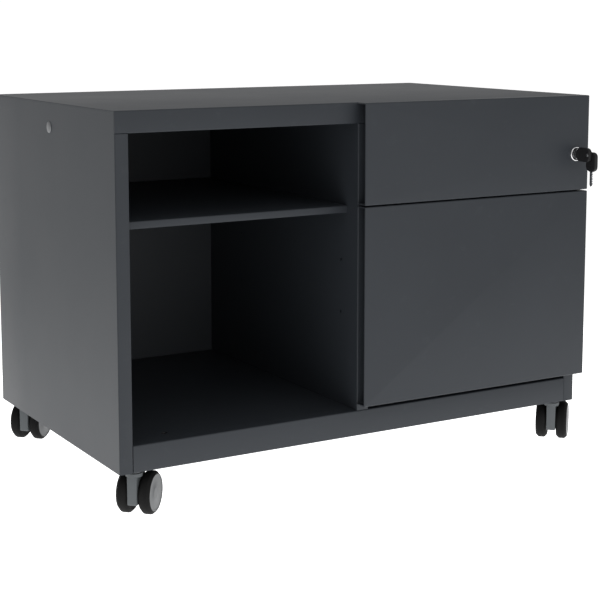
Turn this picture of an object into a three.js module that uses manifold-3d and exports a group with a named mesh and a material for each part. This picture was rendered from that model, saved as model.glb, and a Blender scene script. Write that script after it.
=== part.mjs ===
// A low rolling pedestal cabinet in folded sheet steel: an open bay with one shelf on the left, a personal
// drawer over a filing drawer on the right, four swivelling twin-wheel castors and a cam lock with two keys.
// Units are millimetres, +X is the cabinet's right, +Y its back and +Z up. The cabinet is drawn from its
// lower front left corner and the whole is moved at the end, so that it stands on z = 0 with the origin in
// the middle of its overall box.
import * as THREE from "three";
import { mergeVertices } from "three/addons/utils/BufferGeometryUtils.js";
import Module from "manifold-3d";

const wasm = await Module();
wasm.setup();

// ---------------------------------------------------------------- driving dimensions
const cabinetWidth = 800;
const cabinetDepth = 478;
const cabinetHeight = 497; // without the castors

const sheet = 1.2; // steel sheet
const touch = 0.3; // gap left between two pieces that rest on each other
const past = 1; // how far a cutting tool runs past what it cuts
const wallThickness = 20; // the double-skinned sides and partition, which is also the stiles' width

const topRailHeight = 30.7;
const topRailReturn = 15;
const rearFlange = 14;
const baseRailHeight = 38.5;
const baseReturn = 8;
const bayWidth = 362.5; // the open bay, between the left side and the partition

const shelfTop = 343.5;
const shelfEdge = 11;
const shelfSetback = 29;
const shelfReturn = 12;
const shelfRearRoom = 1;

const pegRadius = 2.3;
const pegClearance = 0.3;
const pegCollarRadius = 4.5;
const pegCollar = 1.5;
const pegReach = 12; // into the bay
const pegTail = 2; // behind the skin
const pegHoleSetback = 6; // from the shelf's front return to the front row of holes
const pegHoleSpan = 315.5; // from the front row of holes to the rear row
const pegHolePitch = 79.4;
const pegHoleRows = 3;

const floorHoleRadius = 5;
const floorHoleInset = 65; // from the side's inner skin
const floorHoleSetback = 38;

const plugDrop = 37; // below the top
const plugHeadRadius = 8.5;
const plugHead = 1.8;
const plugHeadEdge = 0.4; // rounding of the head's rim
const plugShankRadius = 6;
const plugShank = 6;

const channelWidth = 37;
const channelSheet = 2;

const frontProjection = 22.8; // the drawer fronts stand this far in front of the carcass
const frontGap = 1; // between a drawer front and the carcass
const frontOverlap = 2; // the fronts reach this far to the left of the partition's skin
const drawerGap = 2.2; // between the two fronts
const upperFrontHeight = 148.9;
const lowerFrontBottom = 49;
const gripDepth = 20; // finger channel along each front's left edge
const lipThickness = 2.8;
const lipWidth = 8;
const frontRearFlange = 29;

const slideThickness = 12.7;
const slideSetback = 22; // from the front
const slideRearRoom = 13;
const slideHalfHeight = 17.5;
const slideStep = 3; // each member is this much smaller than the one around it, top and bottom
const slidePlay = 2; // between the outer and the middle member's webs

const boxWallFlange = 6;
const boxRearRoom = 36;
const upperBoxHeadroom = 14.3; // below the top rail
const upperBoxLift = 3.9; // from the front's lower edge to the box
const upperSlideHeight = 16; // slide's centre above the box's bottom
const lowerBoxHeadroom = 44; // below the upper front's lower edge
const lowerBoxLift = 5;
const lowerSlideHeight = 76;

const lockInset = 26; // from the front's right edge
const lockDrop = 91.5; // from the front's top edge
const lockRingRim = 2.3; // the ring's radius beyond the barrel's
const lockRing = 2.4;
const lockRingChamfer = 0.8;
const lockPlugRecess = 0.3; // behind the ring's face
const lockBarrelRadius = 9;
const lockPlugRadius = 6.5;
const lockClearance = 0.3;
const lockNutRim = 4;
const lockNut = 3.3;
const camRadius = 11;
const camThickness = 2;
const camThrow = 8; // from the lock's axis to the drive pin, and how far the lock bar rises
const camPinRadius = 2;
const camStandoff = 2.7; // from the cam to the carcass
const camPinExcess = 1; // the drive pin's reach behind the lock bar

const bladeWidth = 8;
const bladeThickness = 2.2;
const bladeInLock = 16;
const bladeInBow = 14;
const bowLength = 30;
const bowWidth = 22;
const bowThickness = 6.4;
const bowCorner = 5;
const bowStandoff = 2; // from the lock's ring to the key's bow
const rivetRadius = 2.2;
const rivetInset = 4.5; // from the bow's far end
const rivetHead = 0.9; // beyond each bow
const spareBladeLength = 24;
const spareBladeTip = 3;
const spareBladeWidth = 6.5;

const barWidth = 10;
const barThickness = 2;
const barSetback = 4;
const barBelowHook = 12;
const barAboveTab = 16;
const tabRoom = 2; // from a drawer's box to the tab and the hook
const slotRoom = 0.5; // above the drive pin
const slotDrop = 2; // below it, because the pin dips against the bar halfway through its turn
const tabHeight = 14;
const hookHeight = 10;
const hookRoom = 1.5; // between a hook's top and the catch that it rises in front of
const catchHeight = 5.5;
const catchLength = 3;
const catchWidth = 9;
const lowerHookDrop = 64; // below the lower box's top
const windowRoom = 3;

const castorWallInset = 9; // from the side's inner skin to the swivel axis
const castorFrontInset = 18;
const castorRearInset = 30;
const castorSwivelAngle = -Math.PI / 4; // how the castors stand turned at rest
const castorTrail = 19; // from the swivel axis back to the wheels' axle
const wheelRadius = 30.5;
const wheelWidth = 17.2;
const wheelHeadroom = 7; // from the wheels' tops to the underside of the cabinet
const wheelGap = 15.5; // between the inner faces of a castor's two wheels
const wheelEdge = 4;
const wheelFace = 3; // thickness of a wheel's closed outer face
const forkSidePlay = 0.6; // between the fork and each wheel
const forkFront = 10.5; // ahead of the swivel axis
const forkClearance = 18.5; // from the floor
const forkToe = 2; // chamfer at the foot of its front
const forkHeel = 6; // behind the axle, where its foot begins to rise
const forkHeelRise = 8;
const axleRadius = 3;
const boreClearance = 0.3;
const collarRadius = 12;
const collarHeight = 2.8;
const kingpinRadius = 4;
const kingpinFloor = 12; // of the fork, under the kingpin's bore
const kingpinRoom = 1; // below the kingpin
const studRadius = 5;
const studLength = 14;
const stemFlangeRadius = 11;
const stemFlange = 2.9;

// ---------------------------------------------------------------- finishes
const finish = (color, roughness, metalness) =>
  new THREE.MeshStandardMaterial({ color, roughness, metalness });
const slatePaint = finish(0x4a4e53, 0.55, 0.1);
const slatePaintInside = finish(0x45494d, 0.6, 0.1);
const zinc = finish(0xb4b6b8, 0.35, 0.9);
const chrome = finish(0xd8dadc, 0.15, 1.0);
const blackPlastic = finish(0x161616, 0.45, 0.0);
const greyPlastic = finish(0x6e7479, 0.5, 0.0);
const treadRubber = finish(0x171717, 0.75, 0.0);

// ---------------------------------------------------------------- building blocks
// A closed three.js geometry as a manifold-3d solid.
function solid(geometry) {
  const bare = geometry.index ? geometry.toNonIndexed() : geometry.clone();
  bare.deleteAttribute("normal");
  bare.deleteAttribute("uv");
  const merged = mergeVertices(bare, 1e-4);
  return new wasm.Manifold(
    new wasm.Mesh({
      numProp: 3,
      vertProperties: merged.attributes.position.array,
      triVerts: new Uint32Array(merged.index.array),
    }),
  );
}

// A box between two corners, given in any order.
function block(xa, xb, ya, yb, za, zb) {
  const box = new THREE.BoxGeometry(Math.abs(xb - xa), Math.abs(yb - ya), Math.abs(zb - za));
  return solid(box.translate((xa + xb) / 2, (ya + yb) / 2, (za + zb) / 2));
}

const alongX = (geometry) => geometry.rotateZ(-Math.PI / 2);
const alongZ = (geometry) => geometry.rotateX(Math.PI / 2);
const asDrawn = (geometry) => geometry; // a cylinder or a lathe is drawn along Y

// A round bar along one axis, from a to b on that axis, through the other two coordinates.
function rod(along, radius, a, b, at, sides = 24) {
  const bar = along(new THREE.CylinderGeometry(radius, radius, Math.abs(b - a), sides));
  const middle = (a + b) / 2;
  if (along === alongX) return solid(bar.translate(middle, at[0], at[1]));
  if (along === alongZ) return solid(bar.translate(at[0], at[1], middle));
  return solid(bar.translate(at[0], middle, at[1]));
}

// A turned solid: profile is [radius, distance along the axis] pairs that start and end on the axis.
function turned(along, profile, sides = 24) {
  const points = profile.map(([radius, distance]) => new THREE.Vector2(radius, distance));
  return solid(along(new THREE.LatheGeometry(points, sides)));
}

const join = (...solids) => solids.reduce((all, next) => all.add(next));
const cut = (body, ...tools) => tools.reduce((left, tool) => left.subtract(tool), body);

function piece(name, body, material) {
  const { vertProperties, triVerts } = body.getMesh();
  const geometry = new THREE.BufferGeometry();
  geometry.setAttribute("position", new THREE.BufferAttribute(new Float32Array(vertProperties), 3));
  geometry.setIndex(new THREE.BufferAttribute(new Uint32Array(triVerts), 1));
  geometry.computeVertexNormals();
  const mesh = new THREE.Mesh(geometry, material);
  mesh.name = name;
  return mesh;
}

function group(parts, x = 0, y = 0, z = 0) {
  const made = new THREE.Group();
  made.add(...parts);
  made.position.set(x, y, z);
  return made;
}

// ---------------------------------------------------------------- places that several pieces share
const innerBack = cabinetDepth - 2 * sheet - 2 * touch; // what stands inside ends here, before the back
const railBottom = cabinetHeight - topRailHeight;
const skinTop = cabinetHeight - sheet - touch; // upright sheets end below the top panel
const castorHeight = 2 * wheelRadius + wheelHeadroom; // from the floor to the underside of the cabinet
const castorSideInset = wallThickness + castorWallInset;
const partitionLeft = wallThickness + bayWidth;
const partitionRight = partitionLeft + wallThickness;
const drawerBayRight = cabinetWidth - wallThickness;
const floorTop = baseRailHeight;

const frontLeft = partitionLeft - frontOverlap;
const frontWidth = cabinetWidth - frontLeft;
const upperFrontBottom = cabinetHeight - upperFrontHeight;
const lowerFrontHeight = upperFrontBottom - drawerGap - lowerFrontBottom;

const boxLeft = partitionRight + slideThickness + 2 * touch;
const boxRight = drawerBayRight - slideThickness - 2 * touch;
const upperBoxBottom = upperFrontBottom + upperBoxLift;
const lowerBoxBottom = lowerFrontBottom + lowerBoxLift;
const upperBoxTop = railBottom - upperBoxHeadroom;
const lowerBoxTop = upperFrontBottom - lowerBoxHeadroom;

const lockX = cabinetWidth - lockInset;
const lockZ = cabinetHeight - lockDrop;

const pegZ = shelfTop - sheet - touch - pegRadius;
const pegHoleFront = shelfSetback + shelfReturn + pegHoleSetback;
const pegHoleYs = [pegHoleFront, pegHoleFront + pegHoleSpan];
const pegHoleZs = Array.from({ length: pegHoleRows }, (_, row) => pegZ - row * pegHolePitch);

const tabBottom = lockZ - camThrow - tabHeight / 2;
const lowerHookBottom = lowerBoxTop - lowerHookDrop;
const hookTops = [tabBottom + tabHeight, lowerHookBottom + hookHeight];

// ---------------------------------------------------------------- carcass
// Holes for shelf pegs through a skin that faces the open bay, from xa to xb.
const pegHoles = (xa, xb) =>
  pegHoleYs.flatMap((y) =>
    pegHoleZs.map((z) => rod(alongX, pegRadius + pegClearance, xa - past, xb + past, [y, z], 12)),
  );

// Room for the top rail and its return at the top of an upright's front, between two x.
function railRoom(xa, xb) {
  const rail = block(xa, xb, -past, sheet + touch, railBottom - touch, cabinetHeight);
  const returnTop = railBottom + sheet + touch;
  const railReturn = block(xa, xb, -past, topRailReturn + touch, railBottom - touch, returnTop);
  return { rail, railReturn };
}

// A side is one sheet folded round its front edge into an outer and an inner skin, with a flange at the
// back. across turns a distance from the side's outer face into an x.
function sidePanel(across, openings) {
  const innerFace = across(wallThickness);
  const flangeTop = cabinetHeight - rearFlange - touch;
  const outerSkin = block(across(0), across(sheet), 0, cabinetDepth, 0, skinTop);
  const innerSkin = block(across(wallThickness - sheet), innerFace, 0, innerBack, 0, skinTop);
  const stile = block(across(0), innerFace, 0, sheet, 0, railBottom - touch);
  const flange = block(across(0), across(rearFlange), cabinetDepth - sheet, cabinetDepth, 0, flangeTop);
  const { rail } = railRoom(across(-past), across(wallThickness + past));
  const { railReturn } = railRoom(across(sheet + touch), across(wallThickness + past));
  const plugHole = rod(
    alongX, plugShankRadius + touch, across(-past), across(sheet + past),
    [cabinetDepth / 2, cabinetHeight - plugDrop], 20,
  );
  return cut(join(outerSkin, innerSkin, stile, flange), rail, railReturn, plugHole, ...openings);
}

const fromLeft = (x) => x;
const fromRight = (x) => cabinetWidth - x;

// The lock bar's tab and hook reach the drawers through the right side's inner skin, and the lock's drive
// pin swings into its stile.
const barWindows = [
  [tabBottom, tabHeight],
  [lowerHookBottom, hookHeight],
].map(([bottom, height]) =>
  block(
    drawerBayRight - past, drawerBayRight + sheet + past,
    barSetback - touch - past, barSetback + barThickness + touch + past,
    bottom - windowRoom, bottom + height + camThrow + windowRoom,
  ),
);
const pinWindow = block(
  drawerBayRight - past, lockX + camThrow + camPinRadius + windowRoom, -past, barSetback,
  lockZ - camThrow - camPinRadius - windowRoom, lockZ + camPinRadius + windowRoom,
);

function topPanel() {
  const skin = block(0, cabinetWidth, 0, cabinetDepth, cabinetHeight - sheet, cabinetHeight);
  const rail = block(0, cabinetWidth, 0, sheet, railBottom, cabinetHeight);
  const inner = [sheet + touch, cabinetWidth - sheet - touch];
  const railReturn = block(...inner, 0, topRailReturn, railBottom, railBottom + sheet);
  const flange = block(
    ...inner, cabinetDepth - sheet, cabinetDepth, cabinetHeight - rearFlange, cabinetHeight,
  );
  return join(skin, rail, railReturn, flange);
}

function basePanel() {
  const inner = [wallThickness + touch, drawerBayRight - touch];
  const skin = block(...inner, 0, innerBack, floorTop - sheet, floorTop);
  const rail = block(...inner, 0, sheet, 0, floorTop);
  const railReturn = block(...inner, 0, baseReturn, 0, sheet);
  const rearRail = block(...inner, innerBack - sheet, innerBack, 0, floorTop);
  const rearReturn = block(...inner, innerBack - baseReturn, innerBack, 0, sheet);
  const holes = [
    wallThickness + floorHoleInset,
    drawerBayRight - floorHoleInset,
  ].flatMap((x) =>
    [floorHoleSetback, innerBack - floorHoleSetback].map((y) =>
      rod(alongZ, floorHoleRadius, floorTop - sheet - past, floorTop + past, [x, y], 20),
    ),
  );
  return cut(join(skin, rail, railReturn, rearRail, rearReturn), ...holes);
}

function partitionPanel() {
  const upright = [floorTop + touch, skinTop];
  const leftSkin = block(partitionLeft, partitionLeft + sheet, 0, innerBack, ...upright);
  const rightSkin = block(partitionRight - sheet, partitionRight, 0, innerBack, ...upright);
  const stile = block(partitionLeft, partitionRight, 0, sheet, ...upright);
  const { rail, railReturn } = railRoom(partitionLeft - past, partitionRight + past);
  const holes = pegHoles(partitionLeft, partitionLeft + sheet);
  return cut(join(leftSkin, rightSkin, stile), rail, railReturn, ...holes);
}

function backPanel() {
  const inner = [sheet + touch, cabinetWidth - sheet - touch];
  return block(...inner, innerBack + touch, innerBack + touch + sheet, 0, skinTop);
}

function shelf() {
  const inner = [wallThickness + touch, partitionLeft - touch];
  const rear = innerBack - shelfRearRoom;
  const bottom = shelfTop - shelfEdge;
  const skin = block(...inner, shelfSetback, rear, shelfTop - sheet, shelfTop);
  const edge = block(...inner, shelfSetback, shelfSetback + sheet, bottom, shelfTop);
  const edgeReturn = block(...inner, shelfSetback, shelfSetback + shelfReturn, bottom, bottom + sheet);
  const rearEdge = block(...inner, rear - sheet, rear, bottom, shelfTop);
  return join(skin, edge, edgeReturn, rearEdge);
}

// A peg pushed into a skin whose face is at x; side is +1 where the bay lies at larger x. Its collar stops
// it, and the shelf rests on its pin.
function shelfPeg(x, side, y) {
  const pin = rod(alongX, pegRadius, x - side * (sheet + pegTail), x + side * pegReach, [y, pegZ], 16);
  const collarEnds = [x + side * touch, x + side * (touch + pegCollar)];
  const collar = rod(alongX, pegCollarRadius, ...collarEnds, [y, pegZ - pegRadius], 16);
  const shelfRoom = block(
    x - side * past, x + side * pegReach, y - 2 * pegCollarRadius, y + 2 * pegCollarRadius,
    pegZ + pegRadius, pegZ + 3 * pegCollarRadius,
  );
  return cut(join(pin, collar), shelfRoom);
}

// A domed plug for the fixing hole near the top of a side; side is -1 where the outside lies at smaller x.
function sidePlug(side) {
  const head = plugHead + touch;
  const profile = [
    [0, -plugShank],
    [plugShankRadius, -plugShank],
    [plugShankRadius, touch],
    [plugHeadRadius, touch],
    [plugHeadRadius - plugHeadEdge, touch + plugHead / 2],
    [plugHeadRadius / 2, head - plugHeadEdge / 2],
    [0, head],
  ];
  return turned((geometry) => geometry.rotateZ(side * -Math.PI / 2), profile, 20);
}

// A U-shaped channel under the floor that carries the two castors of one side.
function castorChannel(across) {
  const near = wallThickness + 2 * touch;
  const far = near + channelWidth;
  const length = [baseReturn + touch, innerBack - baseReturn - touch];
  const height = floorTop - sheet - touch;
  const web = block(across(near), across(far), ...length, 0, channelSheet);
  const nearWall = block(across(near), across(near + channelSheet), ...length, 0, height);
  const farWall = block(across(far - channelSheet), across(far), ...length, 0, height);
  const studHoles = [castorFrontInset, cabinetDepth - castorRearInset].map((y) =>
    rod(alongZ, studRadius + boreClearance, -past, channelSheet + past, [across(castorSideInset), y], 20),
  );
  return cut(join(web, nearWall, farWall), ...studHoles);
}

// ---------------------------------------------------------------- drawers
// Members of a three-part ball slide, in a section whose u runs from the cabinet's wall to the drawer's wall.
// across turns u into an x, and z is the slide's centre height.
const slideMembers = {
  outer: { web: 0, reach: slideThickness * 0.7, inset: 0 },
  middle: { web: sheet + slidePlay, reach: slideThickness * 0.85, inset: slideStep },
  inner: { web: slideThickness - sheet, reach: slideThickness / 2, inset: 2 * slideStep },
};

function slideMember(kind, across, z) {
  const { web, reach, inset } = slideMembers[kind];
  const half = slideHalfHeight - inset;
  const length = [slideSetback, innerBack - slideRearRoom];
  const flangeFrom = Math.min(web, reach);
  const flangeTo = Math.max(web + sheet, reach);
  const back = block(across(web), across(web + sheet), ...length, z - half, z + half);
  const lower = block(across(flangeFrom), across(flangeTo), ...length, z - half, z - half + sheet);
  const upper = block(across(flangeFrom), across(flangeTo), ...length, z + half - sheet, z + half);
  return join(back, lower, upper);
}

const slideSides = {
  left: (u) => partitionRight + touch + u,
  right: (u) => drawerBayRight - touch - u,
};

// A drawer front is a folded pan. Its left return is set in, which leaves a finger channel behind a hemmed
// lip, closed at its ends. The box's front wall covers the window in the pan's back.
function drawerFront(bottom, height, lock) {
  const top = bottom + height;
  const face = -frontProjection;
  const rear = -frontGap;
  const returnLeft = frontLeft + gripDepth;
  const within = [bottom + sheet, top - sheet];
  const outside = block(frontLeft, cabinetWidth, face, rear, bottom, top);
  const hollow = block(returnLeft + sheet, cabinetWidth - sheet, face + sheet, rear - sheet, ...within);
  const grip = block(frontLeft - past, returnLeft, face + lipThickness, rear + past, ...within);
  const behindLip = block(frontLeft + lipWidth, returnLeft, face + sheet, rear, ...within);
  const rearWindow = block(
    returnLeft + frontRearFlange, cabinetWidth - frontRearFlange - wallThickness,
    rear - sheet - past, rear + past, bottom + frontRearFlange, top - frontRearFlange,
  );
  const tools = [hollow, grip, behindLip, rearWindow];
  if (lock) {
    const room = camRadius + windowRoom;
    const barrelHole = [face - past, face + sheet + past, [lockX, lockZ]];
    const camWindow = [rear - sheet - past, rear + past, lockZ - room, lockZ + room];
    tools.push(rod(asDrawn, lockBarrelRadius + lockClearance, ...barrelHole));
    tools.push(block(lockX - room, lockX + room, ...camWindow));
  }
  return cut(outside, ...tools);
}

// An open-topped box. Its side walls end in outward flanges, which carry suspension files in the lower one,
// and a catch on its right wall stands behind the lock bar's hook.
function drawerBox(bottom, top, catchBottom) {
  const front = -frontGap + touch;
  const rear = innerBack - boxRearRoom;
  const walls = cut(
    block(boxLeft, boxRight, front, rear, bottom, top),
    block(boxLeft + sheet, boxRight - sheet, front + sheet, rear - sheet, bottom + sheet, top + past),
  );
  const flange = [slideSetback, rear, top - sheet, top];
  const leftFlange = block(boxLeft - boxWallFlange, boxLeft + sheet, ...flange);
  const rightFlange = block(boxRight - sheet, boxRight + boxWallFlange, ...flange);
  const catchFront = barSetback + barThickness + catchLength;
  const lockCatch = block(
    boxRight - sheet, boxRight + catchWidth, catchFront, catchFront + catchLength,
    catchBottom, catchBottom + catchHeight,
  );
  return join(walls, leftFlange, rightFlange, lockCatch);
}

// ---------------------------------------------------------------- lock and keys
// The lock's pieces are drawn round its axis, with y = 0 on the drawer front's outer face.
const lockRingRadius = lockBarrelRadius + lockRingRim;
const lockBarrelLength = frontProjection - camStandoff - camThickness - 2 * touch;

function lockHousing() {
  const face = -touch - lockRing;
  const body = turned(asDrawn, [
    [0, face],
    [lockRingRadius - lockRingChamfer, face],
    [lockRingRadius, face + lockRingChamfer],
    [lockRingRadius, -touch],
    [lockBarrelRadius, -touch],
    [lockBarrelRadius, lockBarrelLength],
    [0, lockBarrelLength],
  ]);
  const bore = lockPlugRadius + lockClearance;
  return cut(body, rod(asDrawn, bore, face - past, lockBarrelLength + past, [0, 0]));
}

function lockNutRing() {
  const start = sheet + touch;
  const end = start + lockNut;
  const hexagon = rod(asDrawn, lockBarrelRadius + lockNutRim, start, end, [0, 0], 6);
  return cut(hexagon, rod(asDrawn, lockBarrelRadius + lockClearance, start - past, end + past, [0, 0]));
}

const plugFront = -touch - lockRing + lockPlugRecess;
const plugRear = lockBarrelLength + touch;

function lockPlug() {
  const body = rod(asDrawn, lockPlugRadius, plugFront, plugRear, [0, 0]);
  const halfSlot = bladeThickness / 2 + lockClearance;
  const halfHeight = bladeWidth / 2 + lockClearance;
  const depth = plugFront + bladeInLock + past;
  const keyway = block(-halfSlot, halfSlot, plugFront - past, depth, -halfHeight, halfHeight);
  return cut(body, keyway);
}

function lockCam() {
  const start = plugRear + touch;
  const disc = rod(asDrawn, camRadius, start, start + camThickness, [0, 0]);
  const pinEnd = frontProjection + barSetback + barThickness + camPinExcess;
  const pin = rod(asDrawn, camPinRadius, start + camThickness / 2, pinEnd, [0, -camThrow], 12);
  return join(disc, pin);
}

// Turns an outline drawn in x and y so that its x lies along y, its y along z and its thickness along x.
const edgeOn = new THREE.Matrix4().makeBasis(
  new THREE.Vector3(0, 1, 0), new THREE.Vector3(0, 0, 1), new THREE.Vector3(1, 0, 0),
);

// A flat outline as a slab of a given thickness about the plane x = 0.
function slab(shape, thickness, curveSegments) {
  const flat = new THREE.ExtrudeGeometry(shape, { depth: thickness, bevelEnabled: false, curveSegments });
  return solid(flat.applyMatrix4(edgeOn).translate(-thickness / 2, 0, 0));
}

// A key's bow is a rounded slab that lies along -y from its neck at y = 0.
function bowSlab() {
  const half = bowWidth / 2 - bowCorner;
  const near = -bowCorner;
  const far = bowCorner - bowLength;
  const quarter = Math.PI / 2;
  const shape = new THREE.Shape();
  shape.absarc(near, half, bowCorner, 0, quarter, false);
  shape.absarc(far, half, bowCorner, quarter, 2 * quarter, false);
  shape.absarc(far, -half, bowCorner, 2 * quarter, 3 * quarter, false);
  shape.absarc(near, -half, bowCorner, 3 * quarter, 4 * quarter, false);
  return slab(shape, bowThickness, 5);
}

const rivetY = -bowLength + rivetInset;
const spareX = bowThickness + 2 * touch; // from one bow's middle to the other's
const halfBlade = bladeThickness / 2;

// The pocket in a bow that a blade of the given width is moulded into.
function bladePocket(width) {
  const halfSlot = halfBlade + touch;
  const halfHeight = width / 2 + touch;
  return block(-halfSlot, halfSlot, -bladeInBow - touch, past, -halfHeight, halfHeight);
}

// The first key's bow holds the blade, and the rivet that the spare key hangs from.
function keyBow() {
  const rivetEnds = [-bowThickness / 2 - rivetHead, spareX + bowThickness / 2 + rivetHead];
  const rivet = rod(alongX, rivetRadius, ...rivetEnds, [rivetY, 0], 16);
  return join(cut(bowSlab(), bladePocket(bladeWidth)), rivet);
}

function keyBlade() {
  const tip = bowStandoff + bladeInLock;
  return block(-halfBlade, halfBlade, -bladeInBow, tip, -bladeWidth / 2, bladeWidth / 2);
}

function spareKeyBow() {
  const hole = rod(alongX, rivetRadius + touch, -bowThickness, bowThickness, [rivetY, 0], 16);
  return cut(bowSlab(), bladePocket(spareBladeWidth), hole);
}

function spareKeyBlade() {
  const half = spareBladeWidth / 2;
  const shoulder = spareBladeLength - spareBladeTip;
  const shank = block(-halfBlade, halfBlade, -bladeInBow, shoulder, -half, half);
  const tip = block(-halfBlade, halfBlade, shoulder - past, spareBladeLength, -half / 2, half / 2);
  return join(shank, tip);
}

// The lock bar rises inside the right side as the key turns. The drive pin works in the upper tab's slot,
// and the tab and the lower hook come to stand in front of the catches on the two boxes.
function lockBar() {
  const barLeft = cabinetWidth - wallThickness / 2 - barWidth / 2;
  const barRight = barLeft + barWidth;
  const inBar = barLeft + past;
  const thickness = [barSetback, barSetback + barThickness];
  const barEnds = [lowerHookBottom - barBelowHook, hookTops[0] + barAboveTab];
  const bar = block(barLeft, barRight, ...thickness, ...barEnds);
  const tab = block(boxRight + tabRoom, inBar, ...thickness, tabBottom, hookTops[0]);
  const hook = block(boxRight + tabRoom, inBar, ...thickness, lowerHookBottom, hookTops[1]);
  const pinLow = lockZ - camThrow;
  const slotEnd = camPinRadius + 2 * slotRoom;
  const slot = block(
    lockX - slotEnd, lockX + camThrow + slotEnd, barSetback - past, barSetback + barThickness + past,
    pinLow - camPinRadius - slotDrop, pinLow + camPinRadius + slotRoom,
  );
  return cut(join(bar, tab, hook), slot);
}

// ---------------------------------------------------------------- castors
// A castor is drawn round its swivel axis, standing on z = 0, with its wheels trailing towards +y.
function castorFork() {
  const top = castorHeight - touch - stemFlange - touch;
  const underCollar = top - collarHeight;
  const forkWidth = wheelGap - 2 * forkSidePlay;
  const front = -forkFront;
  const heel = castorTrail + forkHeel;
  const rear = heel + forkHeelRise;
  const shape = new THREE.Shape();
  shape.moveTo(front, underCollar);
  shape.lineTo(front, forkClearance + forkToe);
  shape.lineTo(front + forkToe, forkClearance);
  shape.lineTo(heel, forkClearance);
  shape.lineTo(rear, forkClearance + forkHeelRise);
  shape.lineTo(rear, wheelRadius + forkHeelRise);
  shape.quadraticCurveTo(rear, underCollar, collarRadius, underCollar);
  const web = slab(shape, forkWidth, 6);
  const collar = rod(alongZ, collarRadius, underCollar - touch, top, [0, 0], 28);
  const kingpinHole = kingpinRadius + boreClearance;
  const kingpinBore = rod(alongZ, kingpinHole, forkClearance + kingpinFloor, top + past, [0, 0], 20);
  const axleHole = axleRadius + boreClearance;
  const axleBore = rod(alongX, axleHole, -forkWidth, forkWidth, [castorTrail, wheelRadius], 20);
  return cut(join(web, collar), kingpinBore, axleBore);
}

function castorStem() {
  const underside = castorHeight - touch;
  const flangeBottom = underside - stemFlange;
  const kingpinBottom = forkClearance + kingpinFloor + kingpinRoom;
  return turned(alongZ, [
    [0, kingpinBottom],
    [kingpinRadius, kingpinBottom],
    [kingpinRadius, flangeBottom],
    [stemFlangeRadius, flangeBottom],
    [stemFlangeRadius, underside],
    [studRadius, underside],
    [studRadius, underside + studLength],
    [0, underside + studLength],
  ]);
}

const wheelInner = wheelGap / 2;
const wheelOuter = wheelInner + wheelWidth;
const axleReach = wheelOuter - wheelFace;

function castorAxle() {
  return rod(alongX, axleRadius, -axleReach, axleReach, [castorTrail, wheelRadius], 20);
}

// The wheel's tread is moulded on, and its outer face is closed, so the axle ends inside it.
function castorWheel(side) {
  const profile = [
    [0, axleReach + touch],
    [axleRadius + boreClearance, axleReach + touch],
    [axleRadius + boreClearance, wheelInner],
    [wheelRadius - wheelEdge, wheelInner],
    [wheelRadius, wheelInner + wheelEdge],
    [wheelRadius, wheelOuter - wheelEdge],
    [wheelRadius - wheelEdge, wheelOuter],
    [0, wheelOuter],
  ];
  return turned((geometry) => geometry.rotateZ(side * -Math.PI / 2), profile, 40);
}

function castor(label, x, y) {
  const wheels = [["left", -1], ["right", 1]].map(([side, sign]) => {
    const wheel = piece(`castor_wheel_${label}_${side}`, castorWheel(sign), treadRubber);
    wheel.position.set(0, castorTrail, wheelRadius);
    return wheel;
  });
  const turning = group([
    piece(`castor_fork_${label}`, castorFork(), greyPlastic),
    piece(`castor_axle_${label}`, castorAxle(), zinc),
    ...wheels,
  ]);
  turning.rotation.z = castorSwivelAngle;
  return group([piece(`castor_stem_${label}`, castorStem(), zinc), turning], x, y, -castorHeight);
}

// ---------------------------------------------------------------- assembly
const plugs = [["left", -1, 0], ["right", 1, cabinetWidth]].map(([label, side, x]) => {
  const plug = piece(`side_plug_${label}`, sidePlug(side), zinc);
  plug.position.set(x, cabinetDepth / 2, cabinetHeight - plugDrop);
  return plug;
});

const pegs = [["left", wallThickness, 1], ["right", partitionLeft, -1]].flatMap(([label, x, side]) =>
  [["front", pegHoleYs[0]], ["rear", pegHoleYs[1]]].map(([place, y]) =>
    piece(`shelf_peg_${label}_${place}`, shelfPeg(x, side, y), zinc),
  ),
);

const carcass = group([
  piece("left_side_panel", sidePanel(fromLeft, pegHoles(wallThickness - sheet, wallThickness)), slatePaint),
  piece("right_side_panel", sidePanel(fromRight, [...barWindows, pinWindow]), slatePaint),
  piece("top_panel", topPanel(), slatePaint),
  piece("base_panel", basePanel(), slatePaint),
  piece("partition_panel", partitionPanel(), slatePaint),
  piece("back_panel", backPanel(), slatePaintInside),
  piece("shelf", shelf(), slatePaint),
  piece("castor_channel_left", castorChannel(fromLeft), slatePaintInside),
  piece("castor_channel_right", castorChannel(fromRight), slatePaintInside),
  piece("lock_bar", lockBar(), zinc),
  ...plugs,
  ...pegs,
]);

const drawerSets = [
  {
    label: "upper",
    front: drawerFront(upperFrontBottom, upperFrontHeight, true),
    box: drawerBox(upperBoxBottom, upperBoxTop, hookTops[0] + hookRoom),
    slideZ: upperBoxBottom + upperSlideHeight,
  },
  {
    label: "lower",
    front: drawerFront(lowerFrontBottom, lowerFrontHeight, false),
    box: drawerBox(lowerBoxBottom, lowerBoxTop, hookTops[1] + hookRoom),
    slideZ: lowerBoxBottom + lowerSlideHeight,
  },
];
const drawers = drawerSets.map(({ label, front, box, slideZ }) =>
  group([
    piece(`${label}_drawer_front`, front, slatePaint),
    piece(`${label}_drawer_box`, box, slatePaintInside),
    ...Object.entries(slideSides).flatMap(([side, across]) =>
      Object.keys(slideMembers).map((kind) =>
        piece(`${label}_slide_${kind}_${side}`, slideMember(kind, across, slideZ), zinc),
      ),
    ),
  ]),
);

const keyStart = -touch - lockRing - bowStandoff;
const spareKey = group([
  piece("spare_key_bow", spareKeyBow(), blackPlastic),
  piece("spare_key_blade", spareKeyBlade(), chrome),
]);
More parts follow.
